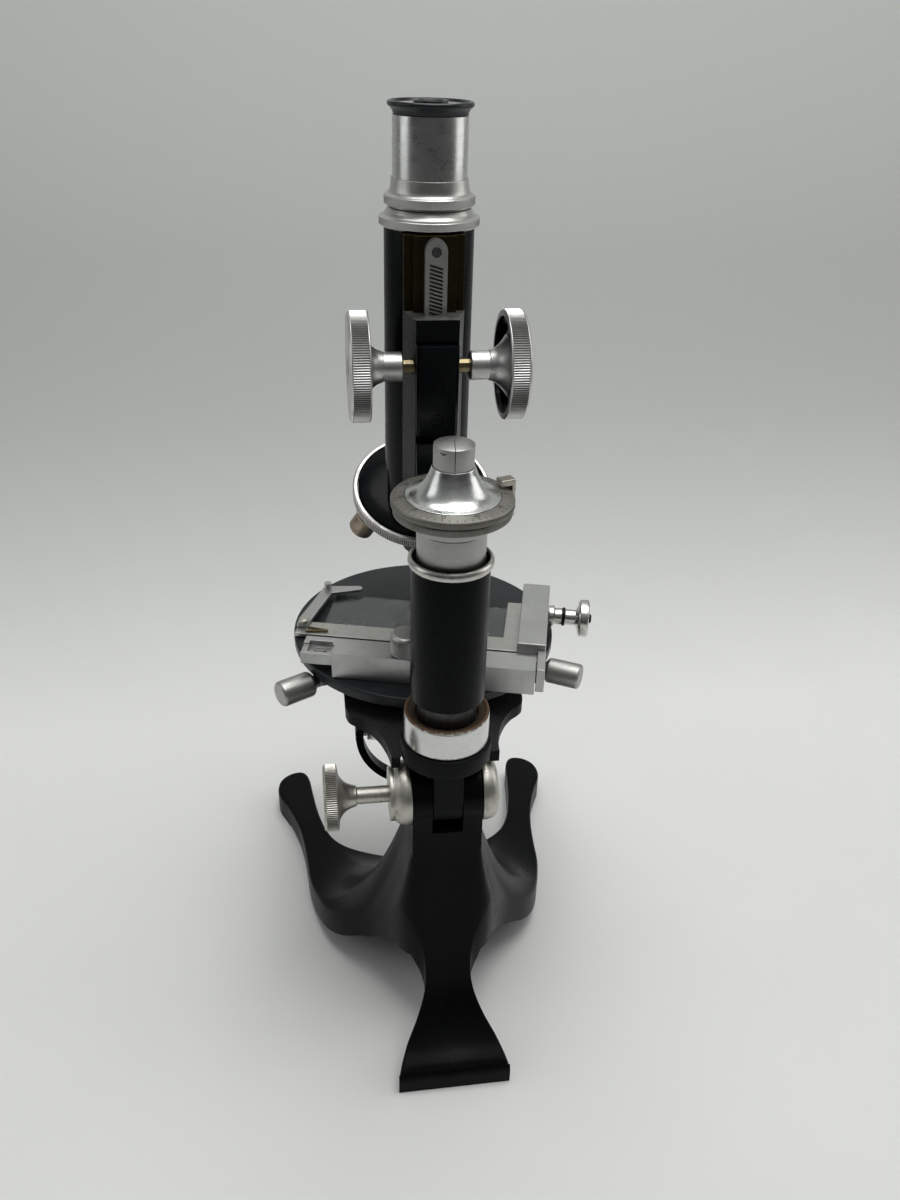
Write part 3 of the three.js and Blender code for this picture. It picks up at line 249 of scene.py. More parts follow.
@dataclass(frozen=True)
class Enamel(Finish):
    """Black paint: glossy japan, satin stove enamel, with dust, scuffs and chipped edges."""

    colour: Colour = (0.0014, 0.0020, 0.0027)
    gloss: Pair = (0.22, 0.34)
    shine: float = 0.07
    coat: float = 0.03
    peel: float = 0.004
    dust: float = 0.12
    chips: float = 0.0

    def lay(self, graph: Graph) -> None:
        """Paint under a thin coat, dulled by handling."""
        where = graph.place()
        handled = graph.noise(where, 0.06, 4)
        dusty = graph.range(graph.noise(where, 0.9, 6, 0.7), 0.60, 0.74, 0.0, self.dust)
        specks = graph.range(graph.cells(where, 0.55), 0.10, 0.06, 0.0, 0.5 * self.dust)
        shade = graph.blend(handled, self.colour, tuple(c * 1.7 for c in self.colour))
        shade = graph.blend(dusty, shade, (0.075, 0.075, 0.072))
        shade = graph.blend(specks, shade, (0.28, 0.27, 0.25))
        scuff = graph.range(graph.noise(graph.place((0.2, 0.2, 2.5)), 0.9, 5), 0.55, 0.8, 0.0, 0.16)
        rough = graph.range(handled, 0.3, 0.7, *self.gloss)
        rough = graph.math("ADD", rough, graph.math("ADD", scuff, dusty), True)
        metal: object = 0.0
        if self.chips:
            patch = graph.range(graph.noise(where, 0.045, 2), 0.52, 0.62, 0.0, 1.0)
            flecks = graph.range(graph.noise(where, 1.1, 5, 0.75), 0.715, 0.735, 0.0, self.chips)
            bare = graph.math("MULTIPLY", patch, flecks)
            shade = graph.blend(bare, shade, (0.42, 0.40, 0.36))
            metal = graph.math("MULTIPLY", bare, 0.7)
        graph.put("Base Color", shade)
        graph.put("Roughness", rough)
        graph.put("Metallic", metal)
        graph.put("Specular IOR Level", self.shine)
        graph.put("Coat Weight", self.coat)
        graph.put("Coat Roughness", 0.12)
        fine = graph.bump(graph.noise(where, 1.4, 3), self.peel)
        graph.put("Normal", graph.bump(graph.noise(where, 0.12, 2), self.peel * 4, fine))


@dataclass(frozen=True)
class CracklePaint(Finish):
    """Coarse black paint broken into small raised cells."""

    def lay(self, graph: Graph) -> None:
        """Raised cells, paler and drier on their tops, with painted shade darkening the cracks between them.
        """
        where = graph.place()
        cell = graph.cells(where, 0.85, "DISTANCE_TO_EDGE")
        grain = graph.noise(where, 1.9, 6, 0.7)
        tops = graph.range(cell, 0.02, 0.22, 0.0, 1.0)
        # Painted shade: the colour darkens towards each cell's edge, into the cracks.
        shade = graph.blend(tops, (0.003, 0.003, 0.004), (0.016, 0.016, 0.017))
        dusty = graph.range(grain, 0.56, 0.7, 0.0, 0.5)
        graph.put("Base Color", graph.blend(dusty, shade, (0.045, 0.045, 0.045)))
        graph.put("Roughness", graph.range(grain, 0.3, 0.7, 0.45, 0.8))
        rise = graph.math("ADD", graph.math("MULTIPLY", tops, 0.6), graph.math("MULTIPLY", grain, 0.6))
        graph.put("Normal", graph.bump(rise, 0.22))


@dataclass(frozen=True)
class Ebonite(Finish):
    """Hard black rubber with faint turning marks and fine scratches."""

    centre: Vector | None = None
    haze: float = 0.5

    def lay(self, graph: Graph) -> None:
        """Satin black that greys where it is rubbed."""
        where = graph.place()
        rubbed = graph.noise(where, 0.05, 5, 0.6)
        lines = graph.noise(graph.around(self.centre or Vector(), Axis.Z), 1.6, 4)
        scratch = graph.range(graph.noise(graph.place((0.06, 1.6, 1)), 1.0, 5), 0.60, 0.72, 0.0, 0.5)
        shade = graph.blend(rubbed, (0.006, 0.007, 0.009), (0.014, 0.016, 0.020))
        shade = graph.blend(graph.math("MULTIPLY", scratch, 0.25), shade, (0.11, 0.11, 0.11))
        graph.put("Base Color", shade)
        graph.put("Roughness", graph.range(rubbed, 0.3, 0.7, 0.26, 0.26 + 0.3 * self.haze))
        graph.put("Specular IOR Level", 0.3)
        under = graph.bump(lines, 0.01)
        graph.put("Normal", graph.bump(graph.noise(where, 0.8, 4), 0.004, under))


@dataclass(frozen=True)
class Plate(Finish):
    """Plated or bare metal: lathe lines, smears, tarnish, pits and grime."""

    colour: Colour = (0.60, 0.60, 0.59)
    stain: Colour = (0.30, 0.25, 0.17)
    rough: Pair = (0.16, 0.34)
    lines: float = 0.010
    tarnish: float = 0.25
    pits: float = 0.2
    centre: Vector | None = None
    axis: Axis = Axis.Z
    grain: Sequence[float] = (0.05, 1.0, 1.0)
    rust_above: float | None = None
    rust_below: float | None = None

    def lay(self, graph: Graph) -> None:
        """Metal whose polish, stain and marks vary over the surface."""
        where = graph.place()
        run = graph.place(self.grain) if self.centre is None else graph.around(self.centre, self.axis)
        cut = graph.noise(run, 2.4, 5, 0.7)
        smear = graph.noise(where, 0.10, 5, 0.65)
        cloud = graph.range(graph.noise(where, 0.22, 6, 0.7), 0.50, 0.72, 0.0, self.tarnish)
        pit = graph.range(graph.noise(where, 1.25, 4, 0.8), 0.70, 0.74, 0.0, self.pits)
        pale = tuple(min(1.0, c * 1.12) for c in self.colour)
        shade = graph.blend(cut, tuple(c * 0.86 for c in self.colour), pale)
        shade = graph.blend(cloud, shade, self.stain)
        shade = graph.blend(pit, shade, (0.05, 0.04, 0.035))
        dull = graph.math("ADD", cloud, pit)
        if self.rust_above is not None or self.rust_below is not None:
            rust = self.rust(graph, where)
            shade = graph.blend(rust, shade, graph.blend(
                graph.noise(where, 0.9, 4), (0.035, 0.014, 0.005), (0.16, 0.085, 0.035)))
            dull = graph.math("ADD", dull, rust)
            graph.put("Metallic", graph.math("SUBTRACT", 1.0, graph.math("MULTIPLY", rust, 0.9), True))
        else:
            graph.put("Metallic", 1.0)
        graph.put("Base Color", shade)
        rough = graph.range(smear, 0.3, 0.7, *self.rough)
        rough = graph.math("ADD", rough, graph.math("MULTIPLY", cut, 0.06))
        graph.put("Roughness", graph.math("ADD", rough, graph.math("MULTIPLY", dull, 0.35), True))
        under = graph.bump(cut, self.lines)
        graph.put("Normal", graph.bump(graph.math("SUBTRACT", 1.0, pit), 0.02, under))

    def rust(self, graph: Graph, where: object) -> object:
        """Share of rust, gathered beyond a height with a ragged edge."""
        coords = graph.node("ShaderNodeSeparateXYZ")
        graph.feed(coords.inputs[0], where)
        ragged = graph.math("MULTIPLY", graph.math("SUBTRACT", graph.noise(where, 0.8, 6, 0.75), 0.5), 3.2)
        height = graph.math("ADD", coords.outputs[2], ragged)
        total: object = 0.0
        if self.rust_above is not None:
            total = graph.range(height, self.rust_above - 0.2, self.rust_above + 0.5, 0.0, 1.0)
        if self.rust_below is not None:
            low = graph.range(height, self.rust_below + 0.2, self.rust_below - 0.4, 0.0, 0.8)
            total = graph.math("MAXIMUM", total, low)
        return total


@dataclass(frozen=True)
class Glass(Finish):
    """Clear glass with finger smudges."""

    tint: Colour = (0.90, 0.96, 0.95)
    smudge: Pair = (0.02, 0.16)

    def lay(self, graph: Graph) -> None:
        """Transmission with a smudged surface."""
        smear = graph.noise(graph.place(), 0.09, 5, 0.6)
        graph.put("Base Color", (*self.tint, 1.0))
        graph.put("Transmission Weight", 1.0)
        graph.put("IOR", 1.5)
        graph.put("Roughness", graph.range(smear, 0.45, 0.7, *self.smudge))


@dataclass(frozen=True)
class Silvering(Finish):
    """Silvered mirror glass with dust."""

    def lay(self, graph: Graph) -> None:
        """Mirror with specks and a light haze."""
        where = graph.place()
        speck = graph.range(graph.noise(where, 1.1, 5, 0.8), 0.64, 0.72, 0.0, 0.7)
        graph.put("Base Color", graph.blend(speck, (0.80, 0.82, 0.83), (0.30, 0.29, 0.27)))
        graph.put("Metallic", 1.0)
        graph.put("Roughness", graph.range(graph.noise(where, 0.08, 4), 0.3, 0.8, 0.03, 0.16))


@dataclass(frozen=True)
class Ink(Finish):
    """Paint wiped into engraved marks."""

    colour: Colour = (0.012, 0.011, 0.010)

    def lay(self, graph: Graph) -> None:
        """Matt paint, uneven where it has worn."""
        worn = graph.range(graph.noise(graph.place(), 1.8, 4), 0.45, 0.7, 0.0, 0.5)
        graph.put("Base Color", graph.blend(worn, self.colour, tuple(c * 3 + 0.03 for c in self.colour)))
        graph.put("Roughness", graph.range(worn, 0.0, 0.5, 0.55, 0.8))


@dataclass(frozen=True)
class Paper(Finish):
    """Pale plain sweep under and behind the object."""

    def lay(self, graph: Graph) -> None:
        """Near-white matt with the faintest mottling, and painted shade that greys the wall where it rises
        behind, darkest low down.
        """
        where = graph.place()
        mottle = graph.noise(where, 0.01, 3)
        parts = graph.node("ShaderNodeSeparateXYZ")
        graph.feed(parts.inputs[0], where)
        # Painted shade: the rising wall is painted darker than the floor, and darker still towards its foot.
        far = graph.range(parts.outputs[1], 150.0, 620.0, 0.0, 1.0)
        floor = graph.blend(mottle, (0.72, 0.725, 0.72), (0.76, 0.765, 0.755))
        rise = graph.range(parts.outputs[2], 60.0, 380.0, 0.0, 1.0)
        wall = graph.blend(rise, (0.36, 0.37, 0.365), (0.60, 0.61, 0.60))
        graph.put("Base Color", graph.blend(far, floor, wall))
        graph.put("Roughness", graph.range(mottle, 0, 1, 0.7, 0.8))
        graph.put("Specular IOR Level", 0.2)


def on_pillar() -> Vector:
    """A point of the pillar axis, in frame millimetres."""
    return DATUM.pillar.copy()


def on_optic() -> Vector:
    """A point of the optical axis, in frame millimetres."""
    return DATUM.pillar + Vector((0, DATUM.optic_y, 0))


def on_hinge() -> Vector:
    """A point of the inclination axis, in frame millimetres."""
    return DATUM.pillar + Vector((0, 0, DATUM.hinge_z))


CAST = Enamel("cast_enamel", "cast", (0.002, 0.0022, 0.0025), gloss=(0.26, 0.36), shine=0.07, coat=0.01,
              peel=0.006, dust=0.04, chips=0.7)
JAPAN = Enamel("japan_gloss", "japan")
JAPAN_ARM = Enamel("japan_arm", "japan", gloss=(0.22, 0.36), dust=0.06, chips=0.25)
JAPAN_DULL = Enamel("japan_dull", "japan", colour=(0.006, 0.0065, 0.0075), gloss=(0.34, 0.50), coat=0.0,
                    dust=0.2, chips=0.3)
# Black enamel, used both as real black and as painted shade: real black on the slide mover knob's raised ring
# and end screw, painted shade in the coarse knobs' hollows and in the groove inside the sleeve's top ring.
BLACK_AND_SHADE = Enamel("black_and_shade", "japan", colour=(0.003, 0.003, 0.0035), gloss=(0.25, 0.4), coat=0.1)
CRACKLE = CracklePaint("crackle_paint", "crackle")
STAGE_EBONITE = Ebonite("stage_ebonite", "ebonite", on_optic(), 0.6)
EYE_EBONITE = Ebonite("eye_ebonite", "ebonite", on_optic(), 0.2)
LENS_BLACK = Ebonite("objective_black", "ebonite", on_optic(), 0.3)
TUBE_CHROME = Plate("tube_chrome", "chrome", (0.60, 0.60, 0.59), rough=(0.17, 0.32), lines=0.003,
                    tarnish=0.10, pits=0.55, centre=on_optic())
COLLAR_CHROME = Plate("collar_chrome", "chrome", (0.55, 0.55, 0.53), rough=(0.24, 0.38), lines=0.004,
                      tarnish=0.22, pits=0.35, centre=on_optic())
BELL_CHROME = Plate("bell_chrome", "chrome", (0.66, 0.67, 0.66), rough=(0.10, 0.34), lines=0.003,
                    tarnish=0.12, pits=0.1, centre=on_pillar())
CUP_CHROME = Plate("cup_chrome", "chrome", (0.66, 0.66, 0.65), rough=(0.12, 0.26), lines=0.002,
                   tarnish=0.12, pits=0.95, centre=on_pillar(), rust_above=147.6, rust_below=137.0)
RING_CHROME = Plate("ring_chrome", "chrome", (0.56, 0.55, 0.52), rough=(0.14, 0.34), lines=0.003,
                    tarnish=0.35, centre=on_pillar())
KNOB_CHROME = Plate("small_knob_chrome", "chrome", (0.62, 0.61, 0.58), rough=(0.12, 0.28), lines=0.003,
                    tarnish=0.3, pits=0.4)
PILLAR_SATIN = Plate("pillar_satin", "satin", (0.38, 0.38, 0.37), rough=(0.28, 0.42), lines=0.008,
                     tarnish=0.12, centre=on_pillar())
DRUM_SATIN = Plate("drum_satin", "satin", (0.25, 0.245, 0.225), (0.20, 0.17, 0.12), rough=(0.34, 0.5),
                   lines=0.004, tarnish=0.55, pits=0.35, centre=on_pillar())
HAND_SATIN = Plate("coarse_knob_satin", "satin", (0.62, 0.62, 0.61), (0.24, 0.21, 0.17),
                   rough=(0.24, 0.42), lines=0.006, tarnish=0.35, pits=0.5, axis=Axis.X,
                   centre=centre_of("pinion_shaft"))
MOVER_SATIN = Plate("mover_satin", "satin", (0.47, 0.475, 0.47), (0.26, 0.21, 0.15), rough=(0.30, 0.44),
                    lines=0.012, tarnish=0.18, pits=0.25, grain=(0.06, 1.5, 1.5))
SHELL_SATIN = Plate("shell_satin", "satin", (0.56, 0.55, 0.54), (0.33, 0.25, 0.22), rough=(0.3, 0.48),
                    lines=0.004, tarnish=0.4, pits=0.3, grain=(1, 1, 0.4))
SCREW_SATIN = Plate("screw_satin", "satin", (0.42, 0.42, 0.41), rough=(0.34, 0.48), lines=0.005,
                    tarnish=0.2, grain=(1, 1, 1))
HINGE_NICKEL = Plate("hinge_nickel", "nickel", (0.52, 0.50, 0.46), (0.20, 0.22, 0.15),
                     rough=(0.26, 0.46), lines=0.006, tarnish=0.55, pits=0.35, axis=Axis.X,
                     centre=on_hinge())
NICKEL = Plate("nickel_plate", "nickel", (0.52, 0.50, 0.45), (0.24, 0.19, 0.12), rough=(0.24, 0.42),
               lines=0.005, tarnish=0.4, grain=(1, 1, 1))
OLD_NICKEL = Plate("worn_nickel", "old_nickel", (0.36, 0.30, 0.23), (0.12, 0.07, 0.035),
                   rough=(0.26, 0.5), lines=0.006, tarnish=0.6, pits=0.4, grain=(1, 1, 1))
STEEL = Plate("bare_steel", "steel", (0.36, 0.36, 0.35), (0.17, 0.14, 0.10), rough=(0.26, 0.42),
              lines=0.004, tarnish=0.35, grain=(1, 1, 1))
ARM_STEEL = Plate("holder_steel", "steel", (0.50, 0.50, 0.48), (0.36, 0.27, 0.17), rough=(0.26, 0.4),
                  lines=0.008, tarnish=0.42, pits=0.3, grain=(0.08, 1.2, 1.2))
DARK_STEEL = Plate("dark_steel", "steel", (0.10, 0.10, 0.10), (0.05, 0.04, 0.03), rough=(0.35, 0.5),
                   tarnish=0.5, grain=(1, 1, 1))
BRONZE = Plate("browned_bronze", "bronze", (0.026, 0.021, 0.009), (0.012, 0.010, 0.005),
               rough=(0.34, 0.55), lines=0.008, tarnish=0.7, pits=0.3, grain=(1.5, 1.5, 0.06))
BRASS = Plate("dull_brass", "brass", (0.24, 0.20, 0.12), (0.08, 0.06, 0.035), rough=(0.2, 0.38),
              lines=0.004, tarnish=0.5, axis=Axis.X, centre=centre_of("pinion_shaft"))
LENS = Glass("lens_glass", "lens")
SLIDE_GLASS = Glass("slide_glass", "lens", (0.86, 0.93, 0.91), (0.05, 0.30))
MIRROR = Silvering("silvering", "mirror")
BLACK_INK = Ink("black_ink", "satin")
BROWN_INK = Ink("brown_ink", "satin", (0.024, 0.016, 0.009))
# Darker colour for the bottoms of knurl grooves and for the rack's tooth flanks and valleys.
GROOVE_DARK = Ink("groove_dark", "steel", (0.035, 0.031, 0.026))
RUST = Ink("rust", "chrome", (0.040, 0.024, 0.012))


# ---- Mesh making -----------------------------------------------------------------------------


@dataclass(frozen=True)
class Knurl:
    """A band of straight knurling on a turned piece."""

    low: float
    high: float
    reach: float
    count: int
    depth: float

    def bite(self, r: float, h: float, angle: float) -> float:
        """How far the knurl cuts in at one point."""
        if r < self.reach or not self.low - 1e-6 <= h <= self.high + 1e-6:
            return 0.0
        wave = abs(((angle * self.count / math.tau) % 1.0) * 2 - 1)
        return self.depth * min(1.0, wave * 1.6)


def soften(profile: Sequence[Pair], radius: float, closed: bool) -> list[Pair]:
    """Rounds the corners of a profile.

    Args:
        profile: Radius and height pairs.
        radius: Largest rounding.
        closed: Whether the last point joins the first.

    Returns:
        The profile with a short curve in place of each sharp corner.
    """
    points = [Vector(p) for p in profile]
    out: list[Pair] = []
    for i, point in enumerate(points):
        if not closed and i in (0, len(points) - 1):
            out.append((point.x, point.y))
            continue
        before, after = points[i - 1] - point, points[(i + 1) % len(points)] - point
        if before.length < 1e-6 or after.length < 1e-6:
            continue
        turn = math.pi - before.angle(after)
        if turn < math.radians(14):
            out.append((point.x, point.y))
            continue
        cut = min(radius, 0.42 * before.length, 0.42 * after.length)
        a, b = point + before.normalized() * cut, point + after.normalized() * cut
        for step in (0.0, 0.33, 0.67, 1.0):
            spot = a * (1 - step) ** 2 + point * 2 * step * (1 - step) + b * step ** 2
            out.append((spot.x, spot.y))
    return out


def through(points: Sequence[Pair], steps: int = 5) -> list[Pair]:
    """Smooth curve through points, by Catmull and Rom."""
    knots = [Vector(p) for p in points]
    knots = [knots[0] * 2 - knots[1], *knots, knots[-1] * 2 - knots[-2]]
    out: list[Pair] = []
    for i in range(1, len(knots) - 2):
        a, b, c, d = knots[i - 1:i + 3]
        for k in range(steps):
            t = k / steps
            spot = 0.5 * (2 * b + (c - a) * t + (2 * a - 5 * b + 4 * c - d) * t ** 2
                          + (3 * b - a - 3 * c + d) * t ** 3)
            out.append((spot.x, spot.y))
    out.append((knots[-2].x, knots[-2].y))
    return out


def arc(cx: float, cy: float, r: float, start: float, end: float, steps: int) -> list[Pair]:
    """Points of a circular arc, with its angles in degrees."""
    turns = (math.radians(start + (end - start) * i / steps) for i in range(steps + 1))
    return [(cx + r * math.cos(t), cy + r * math.sin(t)) for t in turns]


class Shop:
    """Makes meshes on the bench drawing and sets them into the frame."""

    @staticmethod
    def settle(bm: bmesh.types.BMesh, name: str, place: Matrix, sharp: float = 38.0) -> bpy.types.Object:
        """Turns a bench mesh into an object in the frame.

        Args:
            bm: Mesh in millimetres in the piece's own axes; it is used up.
            name: Object name.
            place: From the piece's own axes to the bench drawing.
            sharp: Angle above which an edge stays sharp, in degrees.

        Returns:
            The new object.
        """
        bmesh.ops.remove_doubles(bm, verts=bm.verts, dist=1e-4)
        bmesh.ops.recalc_face_normals(bm, faces=bm.faces)
        bm.transform(DATUM.to_frame() @ place)
        mesh = bpy.data.meshes.new(name)
        bm.to_mesh(mesh)
        bm.free()
        mesh.shade_smooth()
        mesh.set_sharp_from_angle(angle=math.radians(sharp))
        obj = bpy.data.objects.new(name, mesh)
        bpy.context.scene.collection.objects.link(obj)
        return obj

    @staticmethod
    def turned(
        name: str,
        profile: Sequence[Pair],
        place: Matrix = Axis.Z.value,
        sides: int = 128,
        soft: float = 0.3,
        knurls: Sequence[Knurl] = (),
    ) -> bpy.types.Object:
        """Piece turned on a lathe. Faces at the bottom of its knurling get the second material.

        Args:
            name: Object name.
            profile: Radius and height pairs, ending on the axis or closing on themselves.
            place: From the lathe's axis, Z, to the bench drawing.
            sides: Facets around.
            soft: Rounding of the corners.
            knurls: Knurled bands; the sides follow the finest of them.

        Returns:
            The new object.
        """
        closed = not (profile[0][0] == 0 and profile[-1][0] == 0)
        points = soften(profile, soft, closed)
        sides = max([sides, *(k.count * 4 for k in knurls)])
        bm = bmesh.new()
        angles = [math.tau * i / sides for i in range(sides)]
        groove = 1.4 * min((k.depth for k in knurls), default=1.0)
        rows: list[list[bmesh.types.BMVert]] = []
        cuts: list[list[float]] = []
        for r, h in points:
            cut = [sum(k.bite(r, h, angle) for k in knurls) for angle in angles]
            cuts.append(cut)
            if r < 1e-6:
                rows.append([bm.verts.new((0, 0, h))] * sides)
                continue
            rows.append([bm.verts.new(((r - c) * math.cos(t), (r - c) * math.sin(t), h))
                         for c, t in zip(cut, angles)])
        last = len(rows) if closed else len(rows) - 1
        for k in range(last):
            low, high = rows[k], rows[(k + 1) % len(rows)]
            near, far = cuts[k], cuts[(k + 1) % len(rows)]
            for i in range(sides):
                j = (i + 1) % sides
                corners = list(dict.fromkeys((low[i], low[j], high[j], high[i])))
                if len(corners) > 2:
                    face = bm.faces.new(corners)
                    face.material_index = int(min(near[i] + near[j], far[i] + far[j]) > groove)
        return Shop.settle(bm, name, place)

    @staticmethod
    def plate(
        name: str, outline: Sequence[Pair], low: float, high: float,
        place: Matrix = Axis.Z.value, soft: float = 0.3,
    ) -> bpy.types.Object:
        """Flat piece with a polygon outline and eased edges.

        Args:
            name: Object name.
            outline: Corners in order.
            low: Height of its underside.
            high: Height of its top.
            place: From its own axes to the bench drawing.
            soft: Width of the eased edges.

        Returns:
            The new object.
        """
        bm = bmesh.new()
        floor = bm.faces.new([bm.verts.new((x, y, low)) for x, y in outline])
        top = bmesh.ops.extrude_face_region(bm, geom=[floor])
        lifted = [e for e in top["geom"] if isinstance(e, bmesh.types.BMVert)]
        bmesh.ops.translate(bm, vec=(0, 0, high - low), verts=lifted)
        obj = Shop.settle(bm, name, place, 30)
        if soft:
            Shop.ease(obj, soft)
        return obj

    @staticmethod
    def ease(obj: bpy.types.Object, width: float, weld: bool = False, angle: float = 32.0) -> None:
        """Adds modifiers that round an object's edges.

        Args:
            obj: The object.
            width: Rounding in millimetres.
            weld: Whether its faces first have to be joined up.
            angle: Only edges sharper than this are eased, in degrees.
        """
        if weld:
            join = obj.modifiers.new("weld", "WELD")
            join.merge_threshold = 1e-6
            flat = obj.modifiers.new("flats", "DECIMATE")
            flat.decimate_type = "DISSOLVE"
            flat.angle_limit = math.radians(0.6)
        bevel = obj.modifiers.new("ease", "BEVEL")
        bevel.width = width * MM
        bevel.segments = 3
        bevel.limit_method = "ANGLE"
        bevel.angle_limit = math.radians(angle)
        bevel.harden_normals = True
        normals = obj.modifiers.new("normals", "WEIGHTED_NORMAL")
        normals.keep_sharp = True

    @staticmethod
    def merge(
        base: bpy.types.Object, tools: Iterable[bpy.types.Object], how: str = "UNION",
        sharp: float = 38.0,
    ) -> bpy.types.Object:
        """Joins or cuts a piece with others, which are used up.

        Args:
            base: The piece that stays.
            tools: The pieces that join it or cut it.
            how: UNION, DIFFERENCE or INTERSECT.
            sharp: Angle above which an edge stays sharp, in degrees.

        Returns:
            The base, with its new mesh.
        """
        for tool in tools:
            step = base.modifiers.new("merge", "BOOLEAN")
            step.operation = how
            step.solver = "EXACT"
            step.object = tool
            bpy.context.view_layer.update()
            made = base.evaluated_get(bpy.context.evaluated_depsgraph_get())
            mesh = bpy.data.meshes.new_from_object(made)
            base.modifiers.clear()
            base.data = mesh
            bpy.data.objects.remove(tool)
        base.data.shade_smooth()
        base.data.set_sharp_from_angle(angle=math.radians(sharp))
        return base

    @staticmethod
    def fit(
        obj: bpy.types.Object, body: str, finish: Finish, stands_for: Sequence[str] = (),
    ) -> bpy.types.Object:
        """Finishes a piece, with darker faces at the bottom of its knurling, and sets it on its body.

        Args:
            obj: The piece.
            body: CAD body it rides on.
            finish: Its finish.
            stands_for: CAD nodes it is shown in place of.

        Returns:
            The piece.
        """
        grooves = [face.material_index for face in obj.data.polygons]
        obj.data.materials.clear()
        obj.data.materials.append(finish.material())
        if any(grooves):
            obj.data.materials.append(GROOVE_DARK.material())
            obj.data.polygons.foreach_set("material_index", grooves)
        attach(obj, body)
        if stands_for:
            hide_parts(*stands_for)
        LOG.info("%s rides on %s in %s", obj.name, body, finish.name)
        return obj

    @staticmethod
    def tint(obj: bpy.types.Object, finish: Finish, test: Callable[[Vector], bool]) -> None:
        """Gives some faces of a piece a second finish.

        Args:
            obj: The piece.
            finish: The second finish.
            test: Says whether a face takes it, from its middle on the bench drawing.
        """
        obj.data.materials.append(finish.material())
        back = DATUM.to_frame().inverted()
        for face in obj.data.polygons:
            if test(back @ face.center):
                face.material_index = len(obj.data.materials) - 1

    @staticmethod
    def dress(node: str, finish: Finish, width: float = 0.3, angle: float = 32.0) -> bpy.types.Object:
        """Finishes a carried-over CAD node and eases its edges."""
        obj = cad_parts[node]
        obj.data.materials.clear()
        obj.data.materials.append(finish.material())
        Shop.ease(obj, width, weld=True, angle=angle)
        LOG.info("%s keeps its solid in %s", node, finish.name)
        return obj


def rod(r: float, low: float, high: float, place: Matrix = Axis.Z.value, sides: int = 96) -> bpy.types.Object:
    """Plain turned rod used to join or cut pieces."""
    return Shop.turned("rod", [(0, low), (r, low), (r, high), (0, high)], place, sides, 0.0)


def box(x: Pair, y: Pair, z: Pair, place: Matrix = Axis.Z.value) -> bpy.types.Object:
    """Plain block used to join or cut pieces."""
    corners = [(x[0], y[0]), (x[1], y[0]), (x[1], y[1]), (x[0], y[1])]
    return Shop.plate("block", corners, z[0], z[1], place, 0.0)


# ---- Sub-assemblies --------------------------------------------------------------------------


